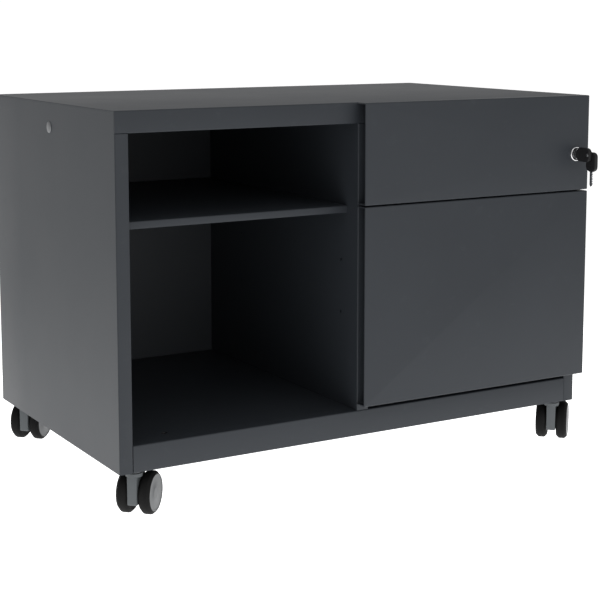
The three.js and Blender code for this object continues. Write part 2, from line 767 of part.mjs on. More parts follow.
// The spare hangs with its blade down: its rivet hole is brought onto the rivet and it turns about it.
spareKey.rotation.x = -Math.PI / 2;
spareKey.position.set(spareX, rivetY, rivetY);
const keys = group([
  piece("key_bow", keyBow(), blackPlastic),
  piece("key_blade", keyBlade(), chrome),
  spareKey,
], 0, keyStart, 0);
const lock = group([
  piece("lock_housing", lockHousing(), chrome),
  piece("lock_nut", lockNutRing(), zinc),
  piece("lock_plug", lockPlug(), chrome),
  piece("lock_cam", lockCam(), zinc),
  keys,
], lockX, -frontProjection, lockZ);

const castors = [
  ["front_left", castorSideInset, castorFrontInset],
  ["front_right", cabinetWidth - castorSideInset, castorFrontInset],
  ["rear_left", castorSideInset, cabinetDepth - castorRearInset],
  ["rear_right", cabinetWidth - castorSideInset, cabinetDepth - castorRearInset],
].map(([label, x, y]) => castor(label, x, y));

const cabinet = group([carcass, ...drawers, lock, ...castors]);
cabinet.updateMatrixWorld(true);
const box = new THREE.Box3().setFromObject(cabinet, true);
const middle = box.getCenter(new THREE.Vector3());
cabinet.position.set(-middle.x, -middle.y, -box.min.z);

const pedestal = new THREE.Group();
pedestal.add(cabinet);

export default pedestal;
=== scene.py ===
"""A rolling pedestal cabinet in folded sheet steel, built piece by piece on its measured frame.

Everything is in metres, with +X the cabinet's right, -Y its front and +Z up. Each piece takes its place from
the frame's nodes and rides on one of its bodies."""
import math
from typing import NamedTuple

import bpy
import numpy as np
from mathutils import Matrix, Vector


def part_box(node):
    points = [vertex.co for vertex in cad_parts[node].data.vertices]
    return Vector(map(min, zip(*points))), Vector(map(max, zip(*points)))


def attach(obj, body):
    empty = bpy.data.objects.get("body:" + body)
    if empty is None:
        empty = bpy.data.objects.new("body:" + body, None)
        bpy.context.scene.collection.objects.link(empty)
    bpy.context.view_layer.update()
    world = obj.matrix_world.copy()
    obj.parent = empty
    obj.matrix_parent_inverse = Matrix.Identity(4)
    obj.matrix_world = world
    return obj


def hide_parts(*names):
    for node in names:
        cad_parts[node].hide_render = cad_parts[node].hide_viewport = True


bl_info = {
    "name": "Rolling Pedestal Cabinet",
    "version": (1, 0, 0),
    "blender": (4, 5, 0),
    "location": "View3D > Sidebar > Cabinet",
    "description": "Builds a folded steel pedestal cabinet with drawers, lock and castors on its frame",
    "category": "Add Mesh",
}

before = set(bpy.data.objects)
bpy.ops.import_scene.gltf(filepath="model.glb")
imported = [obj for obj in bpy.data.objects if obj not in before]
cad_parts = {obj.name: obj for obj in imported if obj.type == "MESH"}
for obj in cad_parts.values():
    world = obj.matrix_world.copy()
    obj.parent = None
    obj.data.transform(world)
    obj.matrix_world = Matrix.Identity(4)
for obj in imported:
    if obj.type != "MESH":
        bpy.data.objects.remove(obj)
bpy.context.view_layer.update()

MM = 0.001
CORNERS = ("front_left", "front_right", "rear_left", "rear_right")
HAIR = 0.02 * MM  # a corner that is meant to be sharp
SNUG = 0.1 * MM  # between two sheets of one piece
PEG_CELL = 5 * MM  # half the cell of a sheet's grid that a hole for a peg takes
FLOOR_CELL = 9 * MM  # the same for a hole in the floor
STUD_CELL = 8 * MM  # the same for a hole for a castor's stud


# ---------------------------------------------------------------- what a user would change
def size(name, description, millimetres):
    """A length, with its default in millimetres."""
    return bpy.props.FloatProperty(
        name=name, description=description, default=millimetres * MM, min=0.0, precision=5, unit="LENGTH"
    )


def tint(name, description, default):
    """A colour."""
    return bpy.props.FloatVectorProperty(
        name=name, description=description, default=default, size=3, min=0.0, max=1.0, subtype="COLOR"
    )


def strength(name, description, default):
    """A strength without a unit."""
    return bpy.props.FloatProperty(name=name, description=description, default=default, min=0.0)


class CabinetSheetSizes(bpy.types.PropertyGroup):
    """Sizes of the folded steel"""

    sheet: size("Sheet", "Thickness of the steel", 1.2)
    channel_sheet: size("Channel sheet", "Thickness of the castor channels", 2.0)
    fold: size("Fold", "Outside radius of a fold", 1.8)
    front_fold: size("Front fold", "Outside radius of the drawer fronts' edges", 1.6)
    touch: size("Touch", "Gap between two pieces that rest on each other", 0.3)
    rail_return: size("Rail return", "Depth of the lip under the top rail", 15.0)
    rear_flange: size("Rear flange", "Width of the flanges at the back", 14.0)
    base_return: size("Base return", "Depth of the lips under the base", 8.0)
    shelf_return: size("Shelf return", "Depth of the lip under the shelf's front", 12.0)
    peg: size("Shelf peg", "Radius of a shelf peg", 2.3)
    peg_hole: size("Peg hole", "Radius of the holes for shelf pegs", 2.6)
    peg_pitch: size("Peg pitch", "Distance between the rows of peg holes", 79.4)
    floor_hole: size("Floor hole", "Radius of the holes in the floor panel", 5.0)
    floor_hole_inset: size("Floor hole inset", "From a side's inner skin to a floor hole", 65.0)
    floor_hole_setback: size("Floor hole setback", "From the floor's front and rear edge to a hole", 38.0)


class CabinetDrawerSizes(bpy.types.PropertyGroup):
    """Sizes of the drawers and their lock"""

    grip_depth: size("Grip depth", "Depth of the finger channel", 20.0)
    lip: size("Lip", "Thickness of the hemmed lip", 2.8)
    lip_width: size("Lip width", "How far the lip is folded back", 8.0)
    pan_flange: size("Pan flange", "Width of the flanges at the rear of a front", 29.0)
    wall_flange: size("Wall flange", "Width of the flanges on the box's side walls", 6.0)
    flange_setback: size("Flange setback", "From a box's front to its flanges", 22.0)
    catch: size("Catch", "Width of the catch on a box's right wall", 9.0)
    barrel: size("Lock barrel", "Radius of the lock's barrel", 9.0)
    nut_height: size("Lock nut", "Thickness of the lock's nut", 3.3)
    cam: size("Lock cam", "Thickness of the lock's cam", 2.0)
    throw: size("Cam throw", "From the lock's axis to the cam's pin", 8.0)
    blade: size("Key blade", "Thickness of a key's blade", 2.2)
    bow: size("Key bow", "Thickness of a key's bow", 6.4)
    bow_corner: size("Key bow corner", "Radius of the corners of a key's bow", 7.5)


class CabinetCastorSizes(bpy.types.PropertyGroup):
    """Sizes of the castors"""

    hub: size("Hub", "Radius of a wheel's hub disc", 26.2)
    trail: size("Trail", "From the swivel axis to the axle", 19.0)
    gap: size("Wheel gap", "Between the two wheels' inner faces", 15.5)
    wheel_width: size("Wheel width", "Width of one wheel", 17.2)
    edge: size("Tread edge", "Chamfer along a tread's edges", 4.0)
    fork_play: size("Fork play", "Between the fork and each wheel", 0.6)
    swivel: bpy.props.FloatProperty(
        name="Swivel", description="How far the castors stand turned", default=-math.pi / 4, subtype="ANGLE"
    )


class CabinetColours(bpy.types.PropertyGroup):
    """Colours of the finishes"""

    slate: tint("Slate", "Powder coat", (0.0262, 0.0300, 0.0355))
    # Inside is the slate coat painted lighter: painted light that brightens the shaded inner pieces, the
    # back, the drawer boxes and the castor channels.
    inside: tint("Inside", "Powder coat of the inner pieces", (0.034, 0.0375, 0.043))
    zinc: tint("Zinc", "Zinc plating", (0.56, 0.57, 0.58))
    nickel: tint("Nickel", "Bright nickel plating", (0.72, 0.72, 0.73))
    black: tint("Black", "Moulded key bows", (0.012, 0.012, 0.013))
    brushed: tint("Brushed steel", "Side plugs and the keys' rivet", (0.19, 0.195, 0.20))
    steel: tint("Steel", "Dark steel of the castor stems and the lock's plug", (0.10, 0.105, 0.11))
    grey: tint("Grey", "Moulded castor housings", (0.075, 0.083, 0.088))
    hub: tint("Hub grey", "Moulded hub discs", (0.088, 0.092, 0.095))
    tread: tint("Tread", "Rubber treads", (0.005, 0.005, 0.005))


class CabinetView(bpy.types.PropertyGroup):
    """Camera, floor and light"""

    place: bpy.props.FloatVectorProperty(
        name="Place", description="Where the camera stands", default=(-1.1866, -2.0280, 0.6911), size=3,
        subtype="TRANSLATION",
    )
    heading: bpy.props.FloatProperty(
        name="Heading", description="Right of straight back", default=0.5301, subtype="ANGLE"
    )
    dip: bpy.props.FloatProperty(
        name="Dip", description="Below the horizontal", default=0.1311, subtype="ANGLE"
    )
    lens: bpy.props.FloatProperty(name="Lens", description="Focal length in mm", default=89.0, min=1.0)
    rise: bpy.props.FloatProperty(name="Rise", description="Vertical lens shift", default=-0.15)
    floor: tint("Floor", "Pale floor", (0.8, 0.8, 0.8))
    sky: strength("Sky", "Strength of the even light", 0.56)
    glow: strength("Glow", "How bright the far floor is", 0.6)
    # The near floor's pool is painted light: the floor glows brightest under the cabinet, lighting its lower
    # faces and washing out the shadow beneath it.
    pool: strength("Pool", "How bright the near floor is", 1.5)


# ---------------------------------------------------------------- shapes as whole arrays
class Shape(NamedTuple):
    """Faces over points: corners lists the faces' points end to end, and sizes how many each face has."""

    points: np.ndarray
    corners: np.ndarray
    sizes: np.ndarray


def middle(node):
    """The x, y and z of the middle of a frame node's box."""
    low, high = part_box(node)
    return (low.x + high.x) / 2, (low.y + high.y) / 2, (low.z + high.z) / 2


def around(centre, reach):
    """The two marks that lie at the same distance before and after a centre."""
    return [centre - reach, centre + reach]


def from_face(profile, face, way=1):
    """A turned profile in metres from (radius, distance) pairs in mm, each distance taken from a face
    forwards, or backwards where way is -1."""
    return [(radius * MM, face + way * distance * MM) for radius, distance in profile]


SECTION_AXES = {"X": (1, 2, 0), "Y": (2, 0, 1), "Z": (0, 1, 2)}


def placed(p, q, along, axis):
    """Points whose section coordinates are p and q, and whose distance along the axis is along."""
    first, second, third = SECTION_AXES[axis]
    p, q, along = np.broadcast_arrays(p, q, along)
    points = np.empty(p.shape + (3,))
    points[..., first] = p
    points[..., second] = q
    points[..., third] = along
    return points


def joined(*shapes):
    """One shape of several, each one's corner numbers raised by the number of points before it."""
    starts = np.cumsum([0] + [len(shape.points) for shape in shapes[:-1]])
    return Shape(
        np.vstack([shape.points for shape in shapes]),
        np.concatenate([shape.corners + start for shape, start in zip(shapes, starts)]),
        np.concatenate([shape.sizes for shape in shapes]),
    )


def face_steps(sizes):
    """For every corner, the number of its face's first corner, and its own step from there."""
    first = np.repeat(np.cumsum(sizes) - sizes, sizes)
    return first, np.arange(len(first)) - first


def flipped(shape):
    """The shape with each face's corners in reverse order."""
    first, step = face_steps(shape.sizes)
    return shape._replace(corners=shape.corners[first + np.repeat(shape.sizes, shape.sizes) - 1 - step])


def outward(shape):
    """The closed shape with its faces turned outwards, by the sign of the volume: a sixth of the sum of
    a . (b x c) over a fan of triangles in every face."""
    points, corners, sizes = shape
    first, step = face_steps(sizes)
    here = np.nonzero((step >= 1) & (step < np.repeat(sizes, sizes) - 1))[0]
    a, b, c = points[corners[first[here]]], points[corners[here]], points[corners[here + 1]]
    return shape if (a * np.cross(b, c)).sum() >= 0 else flipped(shape)


def quads(rows, columns, wrap_rows=False, wrap_columns=True):
    """Point numbers of the four-sided faces of a grid, (rows, columns, 4)."""
    index = np.arange(rows * columns).reshape(rows, columns)
    if wrap_rows:
        index = np.vstack([index, index[:1]])
    if wrap_columns:
        index = np.hstack([index, index[:, :1]])
    return np.stack([index[:-1, :-1], index[1:, :-1], index[1:, 1:], index[:-1, 1:]], axis=-1)


def loft(rings, hollow=False):
    """A closed surface through rings of points (k, n, 3), capped at both ends, or with the last ring led
    back to the first where it is hollow."""
    rings = np.asarray(rings, float)
    count, around = rings.shape[:2]
    sides = quads(count, around, wrap_rows=hollow).reshape(-1)
    sizes = np.full(len(sides) // 4, 4)
    if not hollow:
        caps = [np.arange(around), np.arange(count * around - 1, (count - 1) * around - 1, -1)]
        sides = np.concatenate([sides, *caps])
        sizes = np.concatenate([sizes, [around, around]])
    return outward(Shape(rings.reshape(-1, 3), sides, sizes))


def turned(profile, centre, axis, sides=32, hollow=False):
    """A turned shape: each (radius r, distance) of the profile becomes the ring c + r (cos a, sin a)."""
    radius, along = np.asarray(profile, float).T[:, :, None]
    angle = np.arange(sides) * (2 * np.pi / sides)
    rings = placed(centre[0] + radius * np.cos(angle), centre[1] + radius * np.sin(angle), along, axis)
    return loft(rings, hollow)


def bent(corners, outside, inside=None, steps=4):
    """A line through corners with each bend rounded: outside is the radius of a left turn and inside that
    of a right turn. With directions a before and b after a corner, the arc starts r tan(turn / 2) before it
    and its points are the centre plus r times the direction's right-hand normal, turned along."""
    corners = np.asarray(corners, float)
    inside = outside if inside is None else inside
    legs = np.diff(corners, axis=0)
    legs /= np.linalg.norm(legs, axis=1)[:, None]
    before, after = legs[:-1], legs[1:]
    cross = before[:, 0] * after[:, 1] - before[:, 1] * after[:, 0]
    turn = np.arctan2(cross, (before * after).sum(1))
    radius = np.sign(turn) * np.where(turn > 0, outside, inside)
    start = corners[1:-1] - before * (radius * np.tan(turn / 2))[:, None]
    left = np.stack([-before[:, 1], before[:, 0]], axis=1)
    centre = start + left * radius[:, None]
    angle = turn[:, None] * np.linspace(0, 1, steps + 1)
    along = before[:, :1] * np.cos(angle) - before[:, 1:] * np.sin(angle)
    across = before[:, :1] * np.sin(angle) + before[:, 1:] * np.cos(angle)
    arcs = centre[:, None] + radius[:, None, None] * np.stack([across, -along], axis=-1)
    return np.vstack([corners[:1], arcs.reshape(-1, 2), corners[-1:]])


def marked(line, marks):
    """A line with points added where marks fall on it, each at the foot of the perpendicular on its
    nearest leg, and with repeated points left out."""
    if len(marks):
        marks = np.asarray(marks, float)
        start, leg = line[:-1], np.diff(line, axis=0)
        length = np.maximum((leg**2).sum(-1), 1e-18)
        share = (((marks[:, None] - start) * leg).sum(-1) / length).clip(0, 1)
        foot = start + share[..., None] * leg
        nearest = np.linalg.norm(marks[:, None] - foot, axis=-1).argmin(1)
        row = np.arange(len(marks))
        order = np.argsort(
            np.concatenate([np.arange(len(line)), nearest + share[row, nearest]]), kind="stable"
        )
        line = np.vstack([line, foot[row, nearest]])[order]
    apart = np.linalg.norm(np.diff(line, axis=0), axis=1) > 1e-6
    return line[np.concatenate([[True], apart])]


def blank(line, stations, axis, gaps=(), holes=()):
    """A folded sheet's outer face: the grid of a section line and stations along the axis, without the
    cells whose middle lies in a gap's box. A hole, (centre, radius), turns its cell into four faces, each
    between one side of the cell and a quarter of the circle."""
    stations = np.unique(np.round(stations, 7))
    grid = placed(line[:, :1], line[:, 1:], stations, axis)
    rows, columns = grid.shape[:2]
    cells = quads(rows, columns, wrap_columns=False)
    middle = (grid[:-1, :-1] + grid[1:, 1:]) / 2
    keep = np.ones(cells.shape[:2], bool)
    for low, high in gaps:
        keep &= ~((middle > low) & (middle < high)).all(-1)
    corner_points = grid.reshape(-1, 3)[cells]
    low_edge, high_edge = corner_points.min(2) - 1e-5, corner_points.max(2) + 1e-5
    points, corners, sizes = [grid.reshape(-1, 3)], [], []
    count = rows * columns
    quarter = 6
    for centre, radius in holes:
        inside = ((low_edge < centre) & (high_edge > centre)).all(-1)
        i, j = np.argwhere(inside)[0]
        keep[i, j] = False
        a, b, c, d = cells[i, j]
        u, v = grid[i + 1, j] - grid[i, j], grid[i, j + 1] - grid[i, j]
        u, v = u / np.linalg.norm(u), v / np.linalg.norm(v)
        angle = np.pi / 4 * -3 + np.arange(4 * quarter) * (np.pi / 2 / quarter)
        points.append(centre + radius * (np.cos(angle)[:, None] * u + np.sin(angle)[:, None] * v))
        arcs = (np.arange(quarter, -1, -1) + quarter * np.arange(4)[:, None]) % (4 * quarter) + count
        ends = np.array([[a, b], [b, c], [c, d], [d, a]])
        corners.append(np.hstack([ends, arcs]).reshape(-1))
        sizes.append(np.full(4, quarter + 3))
        count += 4 * quarter
    corners.insert(0, cells[keep].reshape(-1))
    sizes.insert(0, np.full(keep.sum(), 4))
    used, renumbered = np.unique(np.concatenate(corners), return_inverse=True)
    return Shape(np.vstack(points)[used], renumbered, np.concatenate(sizes))


def rounded_rectangle(low, high, radius, steps=4):
    """A rectangle's outline with four quarter circles for corners, counter-clockwise from its far corner."""
    (p0, q0), (p1, q1) = low, high
    centres = np.array([
        [p1 - radius, q1 - radius], [p0 + radius, q1 - radius],
        [p0 + radius, q0 + radius], [p1 - radius, q0 + radius],
    ])
    angle = np.linspace(0, np.pi / 2, steps + 1) + np.pi / 2 * np.arange(4)[:, None]
    circle = np.stack([np.cos(angle), np.sin(angle)], axis=-1)
    return (centres[:, None] + radius * circle).reshape(-1, 2)


def inset(outline, distance):
    """A closed counter-clockwise outline moved inwards: each point goes along (n1 + n2) / (1 + n1 . n2),
    where n1 and n2 are the inward normals of its two edges."""
    back = outline - np.roll(outline, 1, axis=0)
    ahead = np.roll(outline, -1, axis=0) - outline
    back, ahead = (edge / np.linalg.norm(edge, axis=1)[:, None] for edge in (back, ahead))
    bisector = (back + ahead) / (1 + (back * ahead).sum(1))[:, None]
    return outline + distance * np.stack([-bisector[:, 1], bisector[:, 0]], axis=1)


def slab(outline, low, high, edge, axis, steps=3):
    """A flat outline given a thickness from low to high with rounded edges: at angle a of the rounding the
    outline is inset by edge (1 - sin a) at the height edge (1 - cos a) above a face."""
    angle = np.linspace(0, np.pi / 2, steps + 1)
    inward = edge * (1 - np.sin(angle))
    rise = edge * (1 - np.cos(angle))
    inward = np.concatenate([inward, inward[::-1]])
    level = np.concatenate([low + rise, (high - rise)[::-1]])
    outlines = inset(outline, inward[:, None, None])
    return loft(placed(outlines[..., 0], outlines[..., 1], level[:, None], axis))


def closed_outline(corners, radius, steps=4):
    """A closed outline with rounded corners: it starts and ends in the middle of its last side."""
    corners = np.asarray(corners, float)
    start = (corners[-1] + corners[0]) / 2
    return marked(bent(np.vstack([start, corners, start]), radius, steps=steps), ())[:-1]


def block(low, high, edge, axis="Z"):
    """A box between two corners with rounded edges."""
    first, second, third = SECTION_AXES[axis]
    outline = rounded_rectangle((low[first], low[second]), (high[first], high[second]), edge * 1.2)
    return slab(outline, low[third], high[third], edge, axis)


def swivelled(shape, angle, x, y):
    """The shape turned about the upright axis through the origin and moved to x, y."""
    cos, sin = math.cos(angle), math.sin(angle)
    turn = np.array([[cos, sin, 0], [-sin, cos, 0], [0, 0, 1]])
    return Shape(shape.points @ turn + [x, y, 0], shape.corners, shape.sizes)


# ---------------------------------------------------------------- meshes and pieces
def mesh_of(name, shape):
    """A mesh with the shape's points and faces."""
    mesh = bpy.data.meshes.new(name)
    mesh.vertices.add(len(shape.points))
    mesh.vertices.foreach_set("co", shape.points.astype(np.float32).ravel())
    mesh.loops.add(len(shape.corners))
    mesh.loops.foreach_set("vertex_index", shape.corners.astype(np.int32))
    mesh.polygons.add(len(shape.sizes))
    mesh.polygons.foreach_set("loop_start", (np.cumsum(shape.sizes) - shape.sizes).astype(np.int32))
    mesh.update(calc_edges=True)
    mesh.validate()
    return mesh


def thickened(shape, thickness):
    """The sheet behind an outer face, with its cut edges closed."""
    sheet = bpy.data.objects.new("sheet", mesh_of("sheet", shape))
    bpy.context.scene.collection.objects.link(sheet)
    solidify = sheet.modifiers.new("Thickness", "SOLIDIFY")
    solidify.thickness = thickness
    solidify.offset = -1.0
    solidify.use_even_offset = True
    solid = sheet.evaluated_get(bpy.context.evaluated_depsgraph_get()).to_mesh()
    points = np.empty(len(solid.vertices) * 3, np.float32)
    corners = np.empty(len(solid.loops), np.int32)
    sizes = np.empty(len(solid.polygons), np.int32)
    solid.vertices.foreach_get("co", points)
    solid.loops.foreach_get("vertex_index", corners)
    solid.polygons.foreach_get("loop_total", sizes)
    made = Shape(points.reshape(-1, 3).astype(float), corners.astype(int), sizes.astype(int))
    bpy.data.meshes.remove(sheet.data)
    return made


def add_piece(name, body, nodes, slot, finished):
    """One object of (shape, material) pairs that rides on a body and stands for CAD nodes."""
    shapes = [shape for shape, _ in finished]
    mesh = mesh_of(name, joined(*shapes))
    materials = list(dict.fromkeys(material for _, material in finished))
    for material in materials:
        mesh.materials.append(material)
    numbers = [np.full(len(shape.sizes), materials.index(material)) for shape, material in finished]
    mesh.polygons.foreach_set("material_index", np.concatenate(numbers).astype(np.int32))
    mesh.polygons.foreach_set("use_smooth", np.ones(len(mesh.polygons), bool))
    mesh.set_sharp_from_angle(angle=math.radians(38))
    mesh.update()
    made = bpy.data.objects.new(name, mesh)
    bpy.context.scene.collection.objects.link(made)
    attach(made, body)
    if nodes:
        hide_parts(*nodes)
    return made


# ---------------------------------------------------------------- shader node groups
def new_group(name, inputs, outputs):
    """A node group, its input and output nodes, and a function that adds a node with its values set."""
    group = bpy.data.node_groups.new(name, "ShaderNodeTree")
    for socket, kind, default in inputs:
        made = group.interface.new_socket(name=socket, in_out="INPUT", socket_type=kind)
        made.default_value = default
    for socket, kind in outputs:
        group.interface.new_socket(name=socket, in_out="OUTPUT", socket_type=kind)
    add, link = node_tools(group)
    return group, add("NodeGroupInput"), add("NodeGroupOutput"), add, link


def node_tools(tree):
    """Two functions for a node tree: one adds a node with its values and settings, and one links two
    sockets."""
    def add(kind, sockets=None, **settings):
        node = tree.nodes.new(kind)
        for key, value in settings.items():
            setattr(node, key, value)
        for key, value in (sockets or {}).items():
            node.inputs[key].default_value = value
        return node

    return add, tree.links.new


FLOAT, COLOUR = "NodeSocketFloat", "NodeSocketColor"


def speckle_group():
    """Colour and roughness that wander a little over the surface, and a fine height: three noises of
    different sizes on Object coordinates."""
    group, given, out, add, link = new_group(
        "Surface speckle",
        [
            ("Colour", COLOUR, (0.5, 0.5, 0.5, 1)), ("Worn colour", COLOUR, (0.6, 0.6, 0.6, 1)),
            ("Wear", FLOAT, 0.1), ("Roughness", FLOAT, 0.5), ("Roughness range", FLOAT, 0.1),
            ("Grain scale", FLOAT, 900.0), ("Drift scale", FLOAT, 6.0),
        ],
        [("Colour", COLOUR), ("Roughness", FLOAT), ("Height", FLOAT)],
    )
    place = add("ShaderNodeTexCoord")
    grain = add("ShaderNodeTexNoise", {"Detail": 2.0, "Roughness": 0.5})
    drift = add("ShaderNodeTexNoise", {"Detail": 4.0, "Roughness": 0.6})
    scuff = add("ShaderNodeTexNoise", {"Scale": 42.0, "Detail": 6.0, "Roughness": 0.7})
    for noise in (grain, drift, scuff):
        link(place.outputs["Object"], noise.inputs["Vector"])
    link(given.outputs["Grain scale"], grain.inputs["Scale"])
    link(given.outputs["Drift scale"], drift.inputs["Scale"])
    mask = add("ShaderNodeMapRange", {"From Min": 0.58, "From Max": 0.78, "To Min": 0.0, "To Max": 1.0})
    link(scuff.outputs["Fac"], mask.inputs["Value"])
    worn = add("ShaderNodeMath", operation="MULTIPLY")
    link(mask.outputs["Result"], worn.inputs[0])
    link(given.outputs["Wear"], worn.inputs[1])
    shade = add("ShaderNodeMapRange", {"From Min": 0.25, "From Max": 0.75, "To Min": 0.94, "To Max": 1.06})
    link(drift.outputs["Fac"], shade.inputs["Value"])
    shaded = add("ShaderNodeVectorMath", operation="SCALE")
    link(given.outputs["Colour"], shaded.inputs[0])
    link(shade.outputs["Result"], shaded.inputs["Scale"])
    blend = add("ShaderNodeMix", data_type="RGBA")
    link(worn.outputs[0], blend.inputs["Factor"])
    link(shaded.outputs[0], blend.inputs[6])
    link(given.outputs["Worn colour"], blend.inputs[7])
    link(blend.outputs[2], out.inputs["Colour"])
    spread = add("ShaderNodeMath", operation="SUBTRACT")
    link(drift.outputs["Fac"], spread.inputs[0])
    spread.inputs[1].default_value = 0.5
    rough = add("ShaderNodeMath", operation="MULTIPLY_ADD")
    link(spread.outputs[0], rough.inputs[0])
    link(given.outputs["Roughness range"], rough.inputs[1])
    link(given.outputs["Roughness"], rough.inputs[2])
    duller = add("ShaderNodeMath", operation="MULTIPLY_ADD")
    link(worn.outputs[0], duller.inputs[0])
    duller.inputs[1].default_value = 0.25
    link(rough.outputs[0], duller.inputs[2])
    link(duller.outputs[0], out.inputs["Roughness"])
    link(grain.outputs["Fac"], out.inputs["Height"])
    return group


def brushed_group():
    """Fine streaks along one direction: a noise on Object coordinates that are drawn out along X."""
    group, given, out, add, link = new_group(
        "Drawn streaks", [("Scale", FLOAT, 900.0), ("Stretch", FLOAT, 0.06)], [("Height", FLOAT)]
    )
    place = add("ShaderNodeTexCoord")
    part = add("ShaderNodeSeparateXYZ")
    link(place.outputs["Object"], part.inputs[0])
    long = add("ShaderNodeMath", operation="MULTIPLY")
    link(part.outputs["X"], long.inputs[0])
    link(given.outputs["Stretch"], long.inputs[1])
    whole = add("ShaderNodeCombineXYZ")
    link(long.outputs[0], whole.inputs["X"])
    link(part.outputs["Y"], whole.inputs["Y"])
    link(part.outputs["Z"], whole.inputs["Z"])
    streak = add("ShaderNodeTexNoise", {"Detail": 3.0})
    link(whole.outputs[0], streak.inputs["Vector"])
    link(given.outputs["Scale"], streak.inputs["Scale"])
    link(streak.outputs["Fac"], out.inputs["Height"])
    return group


class Finish(NamedTuple):
    """A finish: the name of its colour, its colour where it is worn and how much of it is, its roughness and
    how far that wanders, the scale of its grain, the depth of its relief in mm, and how metallic it is. level
    is the strength of its reflection, and streaks the scale of drawn streaks where it has them."""

    colour: str
    worn: tuple
    wear: float
    rough: float
    wander: float
    grain: float
    relief: float
    metallic: float = 0.0
    level: float = 0.5
    streaks: float = 0.0


FINISHES = {
    "slate powder coat": Finish(
        "slate", (0.058, 0.064, 0.072), 0.25, 0.46, 0.10, 1100.0, 0.06, level=0.22),
    # The inner coat is a lighter copy of the slate coat: painted light for the shaded inner pieces.
    "inner powder coat": Finish(
        "inside", (0.055, 0.06, 0.066), 0.25, 0.5, 0.12, 1100.0, 0.06, level=0.27),
    "zinc plating": Finish(
        "zinc", (0.42, 0.43, 0.42), 0.35, 0.34, 0.22, 500.0, 0.02, metallic=1.0, streaks=1400.0),
    "brushed steel": Finish(
        "brushed", (0.14, 0.145, 0.15), 0.3, 0.4, 0.15, 700.0, 0.02, metallic=1.0, streaks=1600.0),
    "bright nickel": Finish(
        "nickel", (0.5, 0.5, 0.5), 0.2, 0.16, 0.12, 900.0, 0.008, metallic=1.0, streaks=2200.0),
    "dark steel": Finish(
        "steel", (0.16, 0.165, 0.17), 0.3, 0.42, 0.15, 900.0, 0.02, metallic=0.85, streaks=1800.0),
    "black moulding": Finish(
        "black", (0.02, 0.02, 0.02), 0.15, 0.45, 0.12, 1800.0, 0.03, level=0.18),
    "grey moulding": Finish(
        "grey", (0.11, 0.12, 0.125), 0.15, 0.5, 0.12, 1600.0, 0.03, level=0.3),
    "hub moulding": Finish(
        "hub", (0.13, 0.135, 0.14), 0.15, 0.46, 0.12, 1600.0, 0.03, level=0.35),
    "tread rubber": Finish(
        "tread", (0.012, 0.0115, 0.011), 0.4, 0.72, 0.16, 1300.0, 0.06, level=0.12),
}


def make_material(name, colour, kind):
    """The material of a finish: speckled colour and roughness, and a bump of its grain or of drawn
    streaks."""
    material = bpy.data.materials.new(name)
    material.use_nodes = True
    tree = material.node_tree
    tree.nodes.clear()
    add, link = node_tools(tree)
    out = add("ShaderNodeOutputMaterial")
    shader = add("ShaderNodeBsdfPrincipled", {
        "Metallic": kind.metallic, "Specular IOR Level": kind.level,
    })
    link(shader.outputs[0], out.inputs["Surface"])
    speckle = add("ShaderNodeGroup", node_tree=bpy.data.node_groups["Surface speckle"])
    values = {
        "Colour": (*colour, 1), "Worn colour": (*kind.worn, 1), "Wear": kind.wear, "Roughness": kind.rough,
        "Roughness range": kind.wander, "Grain scale": kind.grain,
    }
    for key, value in values.items():
        speckle.inputs[key].default_value = value
    link(speckle.outputs["Colour"], shader.inputs["Base Color"])
    link(speckle.outputs["Roughness"], shader.inputs["Roughness"])
    relief = add("ShaderNodeBump", {"Strength": 0.6, "Distance": kind.relief * MM})
    if kind.streaks:
        drawn = add("ShaderNodeGroup", node_tree=bpy.data.node_groups["Drawn streaks"])
        drawn.inputs["Scale"].default_value = kind.streaks
        link(drawn.outputs["Height"], relief.inputs["Height"])
    else:
        link(speckle.outputs["Height"], relief.inputs["Height"])
    link(relief.outputs["Normal"], shader.inputs["Normal"])
    return material


def finish(name):
    """The material of a finish that has been made."""
    return bpy.data.materials[name]


class CABINET_OT_finishes(bpy.types.Operator):
    """Makes the finishes: powder coat, zinc, nickel, moulded plastics and rubber"""

    bl_idname = "cabinet.finishes"
    bl_label = "Finishes"

    def execute(self, context):
        colours = context.scene.cabinet_colours
        speckle_group()
        brushed_group()
        for name, kind in FINISHES.items():
            make_material(name, tuple(getattr(colours, kind.colour)), kind)
        return {"FINISHED"}


# ---------------------------------------------------------------- carcass
def side_panel(name, outer, inner, gaps, y_marks, z_marks, holes):
    """One sheet folded round its front edge into two skins, with a flange at the back. It is traced so
    that its outer face lies on the right of the way."""
    sizes = bpy.context.scene.cabinet_sheet
    low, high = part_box(name)
    top_low, top_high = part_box("top_panel")
    inner_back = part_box("base_panel")[1].y
    sheet, fold, touch = sizes.sheet, sizes.fold, sizes.touch
    notch = top_low.z - touch
    notch_top = top_low.z + sheet + touch
    flange_top = top_high.z - sizes.rear_flange - touch
    rail_clear = low.y + fold + 0.2 * MM
    return_clear = low.y + sizes.rail_return + touch
    inward = 1 if inner > outer else -1
    corners = [
        (outer + inward * sizes.rear_flange, high.y), (outer, high.y), (outer, low.y), (inner, low.y),
        (inner, inner_back),
    ]
    if inward < 0:
        corners = corners[::-1]
    y_marks = [rail_clear, return_clear, *y_marks]
    marks = [(x, y) for x in (outer, inner) for y in y_marks]
    marks += [(x, low.y) for gap in gaps for x in (gap[0][0], gap[1][0])]
    gaps = [
        ((low.x - MM, low.y - MM, notch), (high.x + MM, rail_clear, high.z + MM)),
        ((min(inner, inner - inward * 3 * MM), low.y - MM, notch),
         (max(inner, inner - inward * 3 * MM) + 0.1 * MM, return_clear, notch_top)),
        ((low.x - MM, high.y - fold, flange_top), (high.x + MM, high.y + MM, high.z + MM)),
        *gaps,
    ]
    stations = [low.z, notch, notch_top, flange_top, high.z, *z_marks]
    line = marked(bent(corners, fold, fold - sheet), marks)
    return thickened(blank(line, stations, "Z", gaps, holes), sheet)


